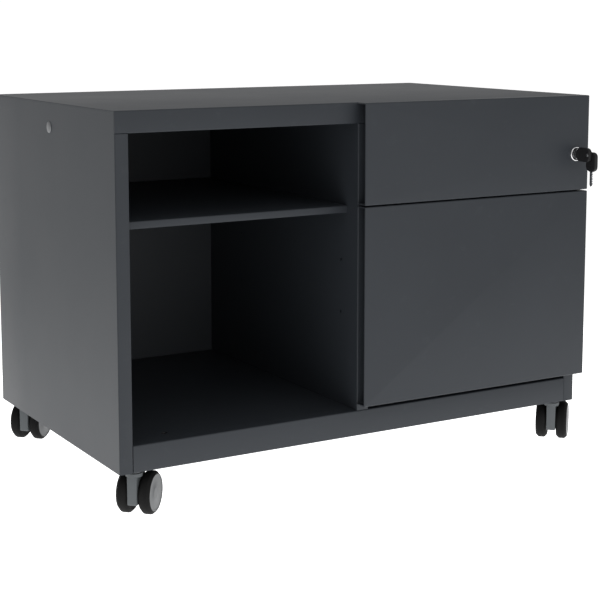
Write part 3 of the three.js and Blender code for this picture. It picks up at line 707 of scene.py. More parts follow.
def peg_places(side):
    """The pegs' y, and the z of each row of peg holes, for one side of the bay."""
    sizes = bpy.context.scene.cabinet_sheet
    ys = [middle(f"shelf_peg_{side}_{end}")[1] for end in ("front", "rear")]
    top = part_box(f"shelf_peg_{side}_front")[1].z - sizes.peg
    return ys, [top - row * sizes.peg_pitch for row in range(3)]


def add_sheets(node, shapes, material="slate powder coat", slot="slate_paint"):
    """A fixed piece of folded sheet in one finish, which stands for one node."""
    add_piece(f"{node}_sheet", "carcass", [node], slot, [(shape, finish(material)) for shape in shapes])


def side_panels():
    """Both sides. The left one has peg holes in its inner skin, and the right one has windows there for the
    lock bar's hooks and a slot in its stile for the cam's pin. Each has a hole for its plug."""
    sizes = bpy.context.scene.cabinet_sheet
    ys, zs = peg_places("left")
    low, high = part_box("left_side_panel")
    _, plug_y, plug_z = middle("side_plug_left")
    y_plug, z_plug = around(plug_y, 5.5 * MM), around(plug_z, 5.5 * MM)

    def plug_gap(x):
        return ((x - MM, y_plug[0], z_plug[0]), (x + MM, y_plug[1], z_plug[1]))

    y_marks = [*y_plug, *(y for peg in ys for y in around(peg, PEG_CELL))]
    z_marks = [*z_plug, *(z for row in zs for z in around(row, PEG_CELL))]
    holes = [((high.x, y, z), sizes.peg_hole) for y in ys for z in zs]
    add_sheets("left_side_panel", [
        side_panel("left_side_panel", low.x, high.x, [plug_gap(low.x)], y_marks, z_marks, holes)
    ])

    low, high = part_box("right_side_panel")
    lock_x, _, lock_z = middle("lock_plug")
    bar_low, bar_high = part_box("lock_bar")
    bar_room = [bar_low.y - 1.3 * MM, bar_high.y + 1.3 * MM]
    hook_bottom = bar_low.z + 12 * MM
    windows = [[lock_z - 18 * MM, lock_z + 10 * MM], [hook_bottom - 3 * MM, hook_bottom + 21 * MM]]
    pin_slot = [lock_z - 13 * MM, lock_z + 5 * MM]
    gaps = [
        ((low.x - MM, bar_room[0], bottom), (low.x + sizes.sheet, bar_room[1], top))
        for bottom, top in windows
    ]
    pin_gap = ((low.x - MM, low.y - MM, pin_slot[0]), (lock_x + 13 * MM, bar_low.y, pin_slot[1]))
    add_sheets("right_side_panel", [
        side_panel(
            "right_side_panel", high.x, low.x, [pin_gap, *gaps, plug_gap(high.x)],
            [*y_plug, *bar_room, bar_low.y], [*z_plug, *windows[0], *windows[1], *pin_slot], [],
        )
    ])


def top_panel():
    """The top, with the front rail and its lip, and a flange at the back. The lip and the flange stop short
    of the sides."""
    sizes = bpy.context.scene.cabinet_sheet
    sheet, fold, touch = sizes.sheet, sizes.fold, sizes.touch
    low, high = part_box("top_panel")
    corners = [
        (high.y, high.z - sizes.rear_flange), (high.y, high.z), (low.y, high.z), (low.y, low.z),
        (low.y + sizes.rail_return, low.z),
    ]
    ends = [(low.x - MM, low.x + sheet + touch), (high.x - sheet - touch, high.x + MM)]
    gaps = [
        gap for a, b in ends for gap in (
            ((a, low.y + fold, low.z - MM), (b, low.y + sizes.rail_return + MM, low.z + MM)),
            ((a, high.y - 0.5 * MM, low.z), (b, high.y + MM, high.z - fold)),
        )
    ]
    line = marked(bent(corners, fold, fold - sheet), ())
    stations = [low.x, ends[0][1], ends[1][0], high.x]
    add_sheets("top_panel", [thickened(blank(line, stations, "X", gaps), sheet)])


def base_panel():
    """The floor with its front and rear rails and their lips. Each of its four holes has a black cup in
    it."""
    sizes = bpy.context.scene.cabinet_sheet
    sheet, fold = sizes.sheet, sizes.fold
    low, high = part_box("base_panel")
    corners = [
        (high.y - sizes.base_return, low.z), (high.y, low.z), (high.y, high.z), (low.y, high.z),
        (low.y, low.z), (low.y + sizes.base_return, low.z),
    ]
    inset_x, setback = sizes.floor_hole_inset - sizes.touch, sizes.floor_hole_setback
    hole_xs, hole_ys = (low.x + inset_x, high.x - inset_x), (low.y + setback, high.y - setback)
    places = [(x, y) for x in hole_xs for y in hole_ys]
    marks = [(mark, high.z) for _, y in places for mark in around(y, FLOOR_CELL)]
    stations = [low.x, high.x, *(mark for x, _ in places for mark in around(x, FLOOR_CELL))]
    holes = [((x, y, high.z), sizes.floor_hole) for x, y in places]
    line = marked(bent(corners, fold, fold - sheet), marks)
    add_sheets("base_panel", [thickened(blank(line, stations, "X", (), holes), sheet)])
    cup = from_face([
        (0.4, -6.0), (4.5, -6.0), (4.9, -5.6), (4.9, -0.2), (4.4, -0.1), (4.2, -0.4), (4.2, -5.2),
        (0.4, -5.2),
    ], high.z)
    cups = [(turned(cup, place, "Z", 28), finish("black moulding")) for place in places]
    add_piece("floor_hole_cups", "carcass", [], "black_plastic", cups)


def partition_panel():
    """The partition between the bay and the drawers, with peg holes in its left skin. Its front edge makes
    room for the top rail and its lip."""
    sizes = bpy.context.scene.cabinet_sheet
    sheet, fold, touch = sizes.sheet, sizes.fold, sizes.touch
    low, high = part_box("partition_panel")
    ys, zs = peg_places("right")
    rail_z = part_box("top_panel")[0].z
    rail_clear = low.y + fold + 0.2 * MM
    return_clear = low.y + sizes.rail_return + touch
    corners = [(low.x, high.y), (low.x, low.y), (high.x, low.y), (high.x, high.y)]
    y_marks = [rail_clear, return_clear, *(y for peg in ys for y in around(peg, PEG_CELL))]
    line = marked(bent(corners, fold, fold - sheet), [(x, y) for x in (low.x, high.x) for y in y_marks])
    stations = [
        low.z, rail_z - touch, rail_z + sheet + touch, high.z,
        *(z for row in zs for z in around(row, PEG_CELL)),
    ]
    corner = (low.x - MM, low.y - MM, rail_z - touch)
    gaps = [
        (corner, (high.x + MM, rail_clear, high.z + MM)),
        (corner, (high.x + MM, return_clear, rail_z + sheet + touch)),
    ]
    holes = [((low.x, y, z), sizes.peg_hole) for y in ys for z in zs]
    add_sheets("partition_panel", [thickened(blank(line, stations, "Z", gaps, holes), sheet)])


def shelf():
    """The shelf, folded down at its back and front, with a lip under its front."""
    sizes = bpy.context.scene.cabinet_sheet
    sheet, fold = sizes.sheet, sizes.fold
    low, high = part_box("shelf")
    corners = [
        (high.y, low.z), (high.y, high.z), (low.y, high.z), (low.y, low.z),
        (low.y + sizes.shelf_return, low.z),
    ]
    line = marked(bent(corners, fold, fold - sheet), ())
    add_sheets("shelf", [thickened(blank(line, [low.x, high.x], "X"), sheet)])


def back_panel():
    """The flat back, and a row of rivets up the flange of each side."""
    sizes = bpy.context.scene.cabinet_sheet
    low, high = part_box("back_panel")
    line = np.array([[high.x, high.y], [low.x, high.y]])
    back = thickened(blank(line, [low.z, high.z], "Z"), sizes.sheet)
    # The back takes the lighter inner coat: painted light on a shaded inner piece.
    add_sheets("back_panel", [back], "inner powder coat", "slate_paint_inside")
    side_low, side_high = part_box("left_side_panel")
    half_flange = sizes.rear_flange / 2
    rows = (side_low.x + half_flange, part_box("right_side_panel")[1].x - half_flange)
    heads = np.linspace(side_low.z + 30 * MM, side_high.z - 45 * MM, 6)
    profile = from_face([(3.2, 0.05), (3.2, 0.3), (2.3, 0.8), (1.0, 1.0)], side_high.y)
    rivets = [
        (turned(profile, (z, x), "Y", 16), finish("slate powder coat")) for x in rows for z in heads
    ]
    add_piece("back_rivets", "carcass", [], "slate_paint", rivets)


class CABINET_OT_carcass(bpy.types.Operator):
    """Folds the side panels, top, base, partition, shelf and back"""

    bl_idname = "cabinet.carcass"
    bl_label = "Carcass"

    def execute(self, context):
        side_panels()
        top_panel()
        base_panel()
        partition_panel()
        shelf()
        back_panel()
        return {"FINISHED"}


def castor_channel(side):
    """A channel under the floor with a hole for each castor's stud."""
    sizes = bpy.context.scene.cabinet_sheet
    thick, fold = sizes.channel_sheet, 3.0 * MM
    name = f"castor_channel_{side}"
    low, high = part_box(name)
    corners = [(high.z, high.x), (low.z, high.x), (low.z, low.x), (high.z, low.x)]
    places = [middle(f"castor_stem_{end}_{side}")[:2] for end in ("front", "rear")]
    marks = [(low.z, mark) for mark in around(places[0][0], STUD_CELL)]
    stations = [low.y, high.y, *(mark for _, y in places for mark in around(y, STUD_CELL))]
    holes = [((x, y, low.z), 5.4 * MM) for x, y in places]
    line = marked(bent(corners, fold, fold - thick), marks)
    channel = thickened(blank(line, stations, "Y", (), holes), thick)
    # The channel takes the lighter inner coat: painted light on a shaded piece under the floor.
    add_sheets(name, [channel], "inner powder coat", "slate_paint_inside")


def side_plug(side, face, out):
    """A domed plug in a side, whose outer face lies at x = face and looks the way out."""
    _, y, z = middle(f"side_plug_{side}")
    profile = from_face([
        (5.2, -6.0), (5.2, 0.1), (8.3, 0.1), (8.5, 0.4), (8.3, 0.8), (7.2, 1.3), (5.2, 1.75), (2.6, 2.05),
        (0.6, 2.1),
    ], face, out)
    dome = turned(profile, (y, z), "X", 36)
    name = f"side_plug_{side}"
    add_piece(f"{name}_cap", "carcass", [name], "zinc", [(dome, finish("brushed steel"))])


def shelf_peg(name, way):
    """A peg with a collar a little below its axis, that points the way of x."""
    zinc = finish("zinc plating")
    low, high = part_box(name)
    root = low.x if way > 0 else high.x
    y = middle(name)[1]
    z = high.z - bpy.context.scene.cabinet_sheet.peg
    pin = from_face([(1.7, 0.0), (2.3, 0.6), (2.3, 14.4), (1.9, 15.0), (0.4, 15.2)], root, way)
    collar = from_face(
        [(2.3, 3.5), (3.8, 3.5), (4.3, 3.9), (4.3, 4.6), (3.8, 5.0), (2.3, 5.0)], root, way
    )
    shapes = [turned(pin, (y, z), "X", 20), turned(collar, (y, z - 2.1 * MM), "X", 20)]
    add_piece(f"{name}_pin", "carcass", [name], "zinc", [(shape, zinc) for shape in shapes])


class CABINET_OT_fittings(bpy.types.Operator):
    """Makes the castor channels, the side plugs and the shelf pegs"""

    bl_idname = "cabinet.fittings"
    bl_label = "Channels, plugs and pegs"

    def execute(self, context):
        for side in ("left", "right"):
            castor_channel(side)
        side_plug("left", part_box("left_side_panel")[0].x, -1)
        side_plug("right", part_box("right_side_panel")[1].x, 1)
        for side, way in (("left", 1), ("right", -1)):
            for end in ("front", "rear"):
                shelf_peg(f"shelf_peg_{side}_{end}", way)
        return {"FINISHED"}


# ---------------------------------------------------------------- drawers
def lock_axis():
    """The x and z of the lock's axis."""
    x, _, z = middle("lock_plug")
    return x, z


def front_pan(low, high, sheet, fold, rear, hole):
    """A drawer front's outer face: a rounded rectangle carried along a quarter fold to the walls, with the
    left wall open for the fingers. A hole for the lock joins the face's rim to a circle."""
    steps = 4
    sections = 5
    angle = np.linspace(0, np.pi / 2, sections)
    inward = np.append(fold * (1 - np.sin(angle)), 0.0)
    level = np.append(low.y + fold * (1 - np.cos(angle)), rear)
    ends = [(low.z + fold + 0.3 * MM, low.x), (high.z - fold - 0.3 * MM, low.x)]
    rings = []
    for step in inward:
        near, far = (low.z + step, low.x + step), (high.z - step, high.x - step)
        outline = rounded_rectangle(near, far, max(fold - step, HAIR), steps)
        breaks = [(z, x + step) for z, x in ends]
        rings.append(np.insert(outline, 3 * (steps + 1), breaks, axis=0))
    rings = np.array(rings)
    count, per_ring = rings.shape[:2]
    cells = quads(count, per_ring)
    keep = np.ones(cells.shape[:2], bool)
    keep[-1, 3 * (steps + 1)] = False
    points = placed(rings[..., 0], rings[..., 1], level[:, None], "Y").reshape(-1, 3)
    corners, sizes = [cells[keep].reshape(-1)], [np.full(keep.sum(), 4)]
    if hole is None:
        corners.append(np.arange(per_ring))
        sizes.append([per_ring])
    else:
        (x, z), radius = hole
        quarter = 8
        corner_of = steps // 2 + np.arange(4) * (steps + 1) + np.array([0, 0, 0, 2])
        turn = np.pi / 4 + np.arange(4 * quarter) * (np.pi / 2 / quarter)
        circle = placed(z + radius * np.cos(turn), x + radius * np.sin(turn), low.y, "Y")
        start = len(points)
        points = np.vstack([points, circle])
        for k in range(4):
            first, last = corner_of[k], corner_of[(k + 1) % 4]
            rim = np.arange(first, last + 1 if last > first else last + per_ring + 1) % per_ring
            arc = (np.arange(quarter, -1, -1) + k * quarter) % (4 * quarter) + start
            corners.append(np.concatenate([rim, arc]))
            sizes.append([len(rim) + len(arc)])
    return thickened(flipped(Shape(points, np.concatenate(corners), np.concatenate(sizes))), sheet)


def drawer_front(label):
    """A drawer's front: its pan, the hemmed lip and the wall of the finger channel, and a rim at the back
    with a wide window. The upper one has a hole for the lock."""
    sizes, drawers = bpy.context.scene.cabinet_sheet, bpy.context.scene.cabinet_drawers
    sheet, fold = sizes.sheet, sizes.front_fold
    slate = finish("slate powder coat")
    lock = lock_axis()
    low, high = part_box(f"{label}_drawer_front")
    has_lock = label == "upper"
    rear = high.y
    hole = (lock, drawers.barrel + 0.3 * MM) if has_lock else None
    pan = front_pan(low, high, sheet, fold, rear, hole)
    within = [low.z + sheet + SNUG, high.z - sheet - SNUG]
    lip_rear = low.y + drawers.lip
    lip_line = bent(
        [(low.x + drawers.lip_width, lip_rear), (low.x, lip_rear), (low.x, low.y + fold)], 1.1 * MM
    )
    lip_ends = [low.z + fold + 0.3 * MM, high.z - fold - 0.3 * MM]
    lip = thickened(blank(marked(lip_line, ()), lip_ends, "Z"), 1.05 * MM)
    grip = low.x + drawers.grip_depth
    flange = grip + drawers.pan_flange
    return_line = bent([(flange, rear), (grip, rear), (grip, low.y + sheet + SNUG)], fold)
    channel = thickened(blank(marked(return_line, ()), within, "Z"), sheet)
    inner_x = high.x - sheet - SNUG
    window = [low.z + drawers.pan_flange, high.z - drawers.pan_flange]
    right_flange = high.x - drawers.pan_flange - 20 * MM
    gaps = [((flange - SNUG, rear - MM, window[0]), (right_flange, rear + MM, window[1]))]
    marks, stations = [(right_flange, rear)], [*within, *window]
    if has_lock:
        reach = 14 * MM
        marks += [(mark, rear) for mark in around(lock[0], reach)]
        stations += around(lock[1], reach)
        gaps.append((
            (lock[0] - reach, rear - MM, lock[1] - reach),
            (lock[0] + reach, rear + MM, lock[1] + reach),
        ))
    line = marked(np.array([[inner_x, rear], [flange + SNUG, rear]]), marks)
    rim = thickened(blank(line, stations, "Z", gaps), sheet)
    add_piece(
        f"{label}_drawer_front_pan", f"{label}_drawer", [f"{label}_drawer_front"], "slate_paint",
        [(shape, slate) for shape in (pan, lip, channel, rim)],
    )


class CABINET_OT_drawer_fronts(bpy.types.Operator):
    """Makes the two drawer fronts with their finger channels"""

    bl_idname = "cabinet.drawer_fronts"
    bl_label = "Drawer fronts"

    def execute(self, context):
        drawer_front("upper")
        drawer_front("lower")
        return {"FINISHED"}


def drawer_box(label, catch_z):
    """A drawer's box: a tub with flanged side walls, a hemmed wall at each end, and a catch for the lock
    bar on its right."""
    sizes, drawers = bpy.context.scene.cabinet_sheet, bpy.context.scene.cabinet_drawers
    sheet, fold = sizes.sheet, sizes.fold
    inner_fold = fold - sheet
    # The box takes the lighter inner coat: painted light for its shaded inside.
    inner, zinc = finish("inner powder coat"), finish("zinc plating")
    bar_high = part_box("lock_bar")[1]
    low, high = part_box(f"{label}_drawer_box")
    left, right = low.x + drawers.wall_flange, high.x - drawers.catch
    under = high.z - sheet
    flange = drawers.wall_flange
    corners = [
        (under, right + flange), (under, right), (low.z, right), (low.z, left), (under, left),
        (under, left - flange),
    ]
    start = low.y + drawers.flange_setback
    gaps = [
        ((right + inner_fold, low.y - MM, low.z), (right + 2 * flange, start, high.z + MM)),
        ((left - 2 * flange, low.y - MM, low.z), (left - inner_fold, start, high.z + MM)),
    ]
    line = marked(bent(corners, fold, inner_fold), ())
    tub = thickened(blank(line, [low.y, start, high.y], "Y", gaps), sheet)
    between = [left + sheet + SNUG, right - sheet - SNUG]
    foot = low.z + sheet + SNUG
    hem = 9 * MM
    front_line = bent([(low.y + hem, high.z), (low.y, high.z), (low.y, foot)], fold)
    rear_line = bent([(high.y, foot), (high.y, high.z), (high.y - hem, high.z)], fold)
    walls = [
        thickened(blank(marked(wall, ()), between, "X"), sheet) for wall in (front_line, rear_line)
    ]
    catch_y = bar_high.y + 3 * MM
    catch = block(
        (right - 0.2 * MM, catch_y, catch_z),
        (high.x, catch_y + 3 * MM, catch_z + 5.5 * MM), 0.5 * MM,
    )
    add_piece(
        f"{label}_drawer_box_tub", f"{label}_drawer", [f"{label}_drawer_box"], "slate_paint_inside",
        [(tub, inner), (walls[0], inner), (walls[1], inner), (catch, zinc)],
    )


class CABINET_OT_drawer_boxes(bpy.types.Operator):
    """Folds the two drawer boxes and their catches"""

    bl_idname = "cabinet.drawer_boxes"
    bl_label = "Drawer boxes"

    def execute(self, context):
        drawer_box("upper", lock_axis()[1] + 0.5 * MM)
        drawer_box("lower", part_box("lock_bar")[0].z + 23.5 * MM)
        return {"FINISHED"}


SLIDE_BODIES = {"outer": "carcass", "middle": "{}_slide_middles", "inner": "{}_drawer"}
BALLS_IN_ROW = 12


def slide_member(label, side, kind):
    """One member of a slide, a channel that opens towards the next member. A middle one has the balls."""
    name = f"{label}_slide_{kind}_{side}"
    low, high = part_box(name)
    opens_right = (side == "left") != (kind == "inner")
    if opens_right:
        corners = [(low.z, high.x), (low.z, low.x), (high.z, low.x), (high.z, high.x)]
    else:
        corners = [(high.z, low.x), (high.z, high.x), (low.z, high.x), (low.z, low.x)]
    line = marked(bent(corners, 1.9 * MM, 0.7 * MM), ())
    channel = thickened(blank(line, [low.y, high.y], "Y"), bpy.context.scene.cabinet_sheet.sheet)
    shapes = [(channel, finish("zinc plating"))]
    if kind == "middle":
        shapes += slide_balls(low, high, label, side)
    add_piece(f"{name}_member", SLIDE_BODIES[kind].format(label), [name], "zinc", shapes)


def slide_balls(low, high, label, side):
    """Two rows of balls against the outer member in the rear half, and two against the inner member in
    the front half, each row with its cage strip. A ball's ring at angle a has the radius r cos(a), r sin(a)
    along from its middle."""
    nickel, black = finish("bright nickel"), finish("black moulding")
    inner_low, inner_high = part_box(f"{label}_slide_inner_{side}")
    outer_low, outer_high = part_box(f"{label}_slide_outer_{side}")
    sheet = bpy.context.scene.cabinet_sheet.sheet
    length = high.y - low.y
    end_room = 12 * MM
    angle = np.linspace(-1.3, 1.3, 5)
    made = []
    rows = [
        (outer_low, outer_high, low, high, low.y + length * 0.5, high.y - end_room),
        (low, high, inner_low, inner_high, low.y + end_room, low.y + length * 0.45),
    ]
    for big_low, big_high, small_low, small_high, start, end in rows:
        x = (max(big_low.x, small_low.x) + min(big_high.x, small_high.x)) / 2
        for z_far, z_near in ((big_low.z + sheet, small_low.z), (big_high.z - sheet, small_high.z)):
            z = (z_far + z_near) / 2
            radius = abs(z_near - z_far) / 2 - 0.05 * MM
            for y in np.linspace(start, end, BALLS_IN_ROW):
                profile = np.stack([radius * np.cos(angle), y + radius * np.sin(angle)], axis=1)
                made.append((turned(profile, (z, x), "Y", 8), nickel))
            cage = block(
                (x - 1.2 * MM, start - 5 * MM, z - 0.2 * MM), (x + 1.2 * MM, end + 5 * MM, z + 0.2 * MM),
                0.1 * MM,
            )
            made.append((cage, black))
    return made


class CABINET_OT_slides(bpy.types.Operator):
    """Makes the ball slides: three members each, with their balls and cages"""

    bl_idname = "cabinet.slides"
    bl_label = "Ball slides"

    def execute(self, context):
        for label in ("upper", "lower"):
            for side in ("left", "right"):
                for kind in SLIDE_BODIES:
                    slide_member(label, side, kind)
        return {"FINISHED"}


# ---------------------------------------------------------------- lock and keys
def lock_housing(x, z, barrel):
    """The housing in the upper front, with a raised ring round a black groove."""
    low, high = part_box("lock_housing")
    face, rear = low.y, high.y
    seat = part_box("upper_drawer_front")[0].y - 0.05 * MM
    bore = 6.8 * MM
    ring = [
        (bore, face + 4 * MM), (bore, face + 0.5 * MM), (bore + 0.4 * MM, face + 0.1 * MM),
        (7.6 * MM, face + 0.1 * MM), (7.9 * MM, face + 0.9 * MM), (9.7 * MM, face + 0.9 * MM),
        (9.9 * MM, face + 0.1 * MM), (10.2 * MM, face), (10.8 * MM, face + 0.3 * MM),
        (11.1 * MM, face + 0.75 * MM), (11.3 * MM, face + 1.5 * MM), (11.3 * MM, seat),
        (barrel, seat), (barrel, rear), (bore, rear),
    ]
    housing = turned(ring, (z, x), "Y", 64, hollow=True)
    groove = turned([
        (8.0 * MM, face + 0.95 * MM), (8.0 * MM, face + 0.7 * MM), (8.8 * MM, face + 0.6 * MM),
        (9.6 * MM, face + 0.7 * MM), (9.6 * MM, face + 0.95 * MM),
    ], (z, x), "Y", 64, hollow=True)
    add_piece("lock_housing_ring", "upper_drawer", ["lock_housing"], "chrome",
              [(housing, finish("bright nickel")), (groove, finish("black moulding"))])


def lock_nut(x, z, barrel):
    """The nut behind the front: at angle a its radius is that of a hexagon, apothem / cos(a), and near both
    faces no more than a circle's."""
    low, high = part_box("lock_nut")
    sides = 48
    angle = np.arange(sides) * (2 * np.pi / sides)
    apothem = (high.z - low.z) / 2 * math.cos(math.pi / 6)
    hexagon = apothem / np.cos((angle + np.pi / 6) % (np.pi / 3) - np.pi / 6)
    chamfered = np.minimum(hexagon, apothem * 1.03)
    round_hole = np.full(sides, barrel + 0.3 * MM)
    radii = np.array([round_hole, chamfered, hexagon, hexagon, chamfered, round_hole])
    drop = 0.6 * MM
    level = np.array([low.y, low.y, low.y + drop, high.y - drop, high.y, high.y])[:, None]
    nut = loft(placed(z + radii * np.cos(angle), x + radii * np.sin(angle), level, "Y"), hollow=True)
    add_piece("lock_nut_hexagon", "upper_drawer", ["lock_nut"], "zinc", [(nut, finish("zinc plating"))])


def lock_plug(x, z):
    """The plug, with a keyway whose outline is a rectangle seen from its middle."""
    low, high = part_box("lock_plug")
    radius = (high.z - low.z) / 2
    turn = np.arange(40) * (2 * np.pi / 40)
    wide, tall = 1.4 * MM, 4.3 * MM
    reach = np.minimum(tall / np.maximum(np.abs(np.cos(turn)), 1e-6),
                       wide / np.maximum(np.abs(np.sin(turn)), 1e-6))
    steps = [
        (reach, low.y + 17 * MM), (reach, low.y), (np.full(40, radius - 0.4 * MM), low.y),
        (np.full(40, radius), low.y + 0.4 * MM), (np.full(40, radius), high.y),
    ]
    rings = [placed(z + r * np.cos(turn), x + r * np.sin(turn), y, "Y") for r, y in steps]
    add_piece("lock_plug_keyway", "key", ["lock_plug"], "chrome", [(loft(rings), finish("dark steel"))])


def lock_cam(x, z):
    """The cam, its pin and the screw that holds it."""
    drawers, zinc = bpy.context.scene.cabinet_drawers, finish("zinc plating")
    low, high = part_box("lock_cam")
    start, end = low.y, low.y + drawers.cam
    edge = 0.3 * MM
    radius = (high.x - low.x) / 2
    disc = turned(
        [(radius - edge, start), (radius, start + edge), (radius, end - edge), (radius - edge, end)],
        (z, x), "Y", 48,
    )
    pin = [(2.0, end - 0.5 * MM), (2.0, high.y - 0.5 * MM), (1.5, high.y)]
    drive = turned([(r * MM, y) for r, y in pin], (z - drawers.throw, x), "Y", 24)
    screw = turned([(3.5 * MM, end - 0.1 * MM), (3.5 * MM, end + 1.6 * MM), (2.4 * MM, end + 2.4 * MM)],
                   (z, x), "Y", 24)
    add_piece("lock_cam_disc", "key", ["lock_cam"], "zinc", [(disc, zinc), (drive, zinc), (screw, zinc)])


class CABINET_OT_lock(bpy.types.Operator):
    """Makes the lock: ringed housing, nut, plug with its keyway and the cam"""

    bl_idname = "cabinet.lock"
    bl_label = "Lock"

    def execute(self, context):
        x, z = lock_axis()
        barrel = context.scene.cabinet_drawers.barrel
        lock_housing(x, z, barrel)
        lock_nut(x, z, barrel)
        lock_plug(x, z)
        lock_cam(x, z)
        return {"FINISHED"}


def key_outline(length, half, cuts):
    """A key blade's outline from its root at 0 to its pointed tip, with cuts along its lower edge. They are
    (distance, depth) pairs in mm, each a flat-bottomed V."""
    lower = [(0.0, -half)]
    for distance, depth in np.array(cuts) * MM:
        lower += [
            (distance - 1.3 * MM, -half), (distance - 0.4 * MM, -half + depth),
            (distance + 0.4 * MM, -half + depth), (distance + 1.3 * MM, -half),
        ]
    shoulder = length - 2.6 * MM
    return np.array(lower + [(shoulder, -half), (length, -half * 0.25), (length, half * 0.25),
                             (shoulder, half), (0.0, half)])


def key_in_lock():
    """The key in the lock, with a rivet through its bow that the spare key hangs from."""
    drawers = bpy.context.scene.cabinet_drawers
    nickel, black = finish("bright nickel"), finish("black moulding")
    x, z = lock_axis()
    half_bow, half_blade = drawers.bow / 2, drawers.blade / 2
    low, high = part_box("key_bow")
    outline = rounded_rectangle((low.y, low.z), (high.y, high.z), drawers.bow_corner, 8)
    bow = slab(outline, x - half_bow, x + half_bow, 1.6 * MM, "X", 4)
    rivet_y = low.y + 4.5 * MM
    rivet_profile = [(0.8, 0.0), (2.0, 0.25), (2.7, 0.8), (2.7, 1.0), (2.1, 1.0)]
    rivet_line = from_face(rivet_profile, low.x) + from_face(rivet_profile, high.x, -1)[::-1]
    rivet = turned(rivet_line, (rivet_y, z), "X", 28)
    neck = block(
        (x - 2.4 * MM, high.y - MM, z - 4.6 * MM), (x + 2.4 * MM, high.y + 0.6 * MM, z + 4.6 * MM),
        0.5 * MM, "Y",
    )
    add_piece("key_bow_moulding", "key", ["key_bow"], "black_plastic",
              [(bow, black), (neck, black), (rivet, finish("brushed steel"))])

    low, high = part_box("key_blade")
    half = (high.z - low.z) / 2
    flat = key_outline(high.y - low.y, half, [(17, 1.2), (20.5, 0.7), (24, 1.5), (27.5, 0.9)])
    outline = flat + [low.y, z]
    blade = slab(outline, x - half_blade, x + half_blade, 0.25 * MM, "X", 2)
    add_piece("key_blade_cut", "key", ["key_blade"], "chrome", [(blade, nickel)])


def spare_key():
    """The spare key, with two grip ribs on each side of its bow."""
    drawers = bpy.context.scene.cabinet_drawers
    nickel, black = finish("bright nickel"), finish("black moulding")
    half_blade = drawers.blade / 2
    low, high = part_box("spare_key_bow")
    centre, across, _ = middle("spare_key_bow")
    outline = rounded_rectangle((low.y, low.z), (high.y, high.z), drawers.bow_corner, 8)
    bow = slab(outline, low.x, high.x, 1.6 * MM, "X", 4)
    ribs = [
        block((start, across - 6.5 * MM, low.z + (level - 0.55) * MM),
              (start + 0.7 * MM, across + 6.5 * MM, low.z + (level + 0.55) * MM), 0.25 * MM)
        for start, levels in ((high.x - 0.4 * MM, (9, 12.5)), (low.x - 0.3 * MM, (6, 9.5)))
        for level in levels
    ]
    neck = block((centre - 2.4 * MM, across - 4 * MM, low.z - 0.6 * MM),
                 (centre + 2.4 * MM, across + 4 * MM, low.z + MM), 0.5 * MM)
    add_piece("spare_key_bow_moulding", "spare_key", ["spare_key_bow"], "black_plastic",
              [(bow, black), (neck, black), *((rib, black) for rib in ribs)])

    low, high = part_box("spare_key_blade")
    half = (high.y - low.y) / 2
    cuts = [(17.5, 1.0), (21, 1.4), (24.5, 0.6), (28, 1.1), (31.5, 0.8)]
    flat = key_outline(high.z - low.z, half, cuts)
    outline = np.stack([across + flat[:, 1], high.z - flat[:, 0]], axis=1)
    blade = slab(outline, centre - half_blade, centre + half_blade, 0.25 * MM, "X", 2)
    add_piece("spare_key_blade_cut", "spare_key", ["spare_key_blade"], "chrome", [(blade, nickel)])


class CABINET_OT_keys(bpy.types.Operator):
    """Makes the key in the lock and the spare key that hangs from it"""

    bl_idname = "cabinet.keys"
    bl_label = "Keys"

    def execute(self, context):
        key_in_lock()
        spare_key()
        return {"FINISHED"}


# ---------------------------------------------------------------- castors
def castor_stem(label, x, y):
    """A castor's kingpin, flange and stud in one, and the nut on the stud over the channel's floor."""
    low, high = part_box(f"castor_stem_{label}")
    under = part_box("castor_channel_left")[0].z - 0.3 * MM
    stud = 5.0 * MM
    profile = [
        (3.6 * MM, low.z), (4.0 * MM, low.z + 0.5 * MM), (4.0 * MM, under - 2.9 * MM),
        (10.4 * MM, under - 2.9 * MM), (11.0 * MM, under - 2.3 * MM), (11.0 * MM, under - 0.6 * MM),
        (10.4 * MM, under), (stud, under), (stud, high.z - 0.8 * MM), (stud - 0.8 * MM, high.z),
    ]
    stem = turned(profile, (x, y), "Z", 40)
    base = under + 0.35 * MM + 2.0 * MM
    hexagon = np.arange(6) * (np.pi / 3)
    outline = np.stack([x + 9.2 * MM * np.cos(hexagon), y + 9.2 * MM * np.sin(hexagon)], axis=1)
    nut = slab(outline, base, base + 6 * MM, 0.5 * MM, "Z", 2)
    add_piece(f"castor_stem_{label}_pin", "carcass", [f"castor_stem_{label}"], "zinc",
              [(stem, finish("dark steel")), (nut, finish("zinc plating"))])


def castor_fork(label, x, y):
    """The housing between a castor's wheels: a web, and a collar round the kingpin. It is made facing
    forwards at the origin and then swivelled into place."""
    sizes, grey = bpy.context.scene.cabinet_castors, finish("grey moulding")
    half_fork = sizes.gap / 2 - sizes.fork_play
    low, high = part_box(f"castor_fork_{label}")
    shoulder = high.z - 2.8 * MM
    front, heel = -10.5 * MM, sizes.trail + 6 * MM
    rear = heel + 8 * MM
    outline = closed_outline([
        (front, low.z), (heel, low.z), (rear, low.z + 8 * MM), (rear, 46 * MM),
        (sizes.trail + 4 * MM, shoulder - 2 * MM), (12 * MM, shoulder), (front, shoulder),
    ], 2.4 * MM, 5)
    web = slab(outline, -half_fork, half_fork, 1.2 * MM, "X", 3)
    collar = turned([
        (11.4 * MM, shoulder - 3 * MM), (12.0 * MM, shoulder - 2.4 * MM),
        (12.0 * MM, high.z - 0.6 * MM), (11.4 * MM, high.z),
    ], (0.0, 0.0), "Z", 44)
    shapes = [(swivelled(shape, sizes.swivel, x, y), grey) for shape in (web, collar)]
    add_piece(f"castor_fork_{label}_housing", f"castor_swivel_{label}", [f"castor_fork_{label}"],
              "grey_plastic", shapes)


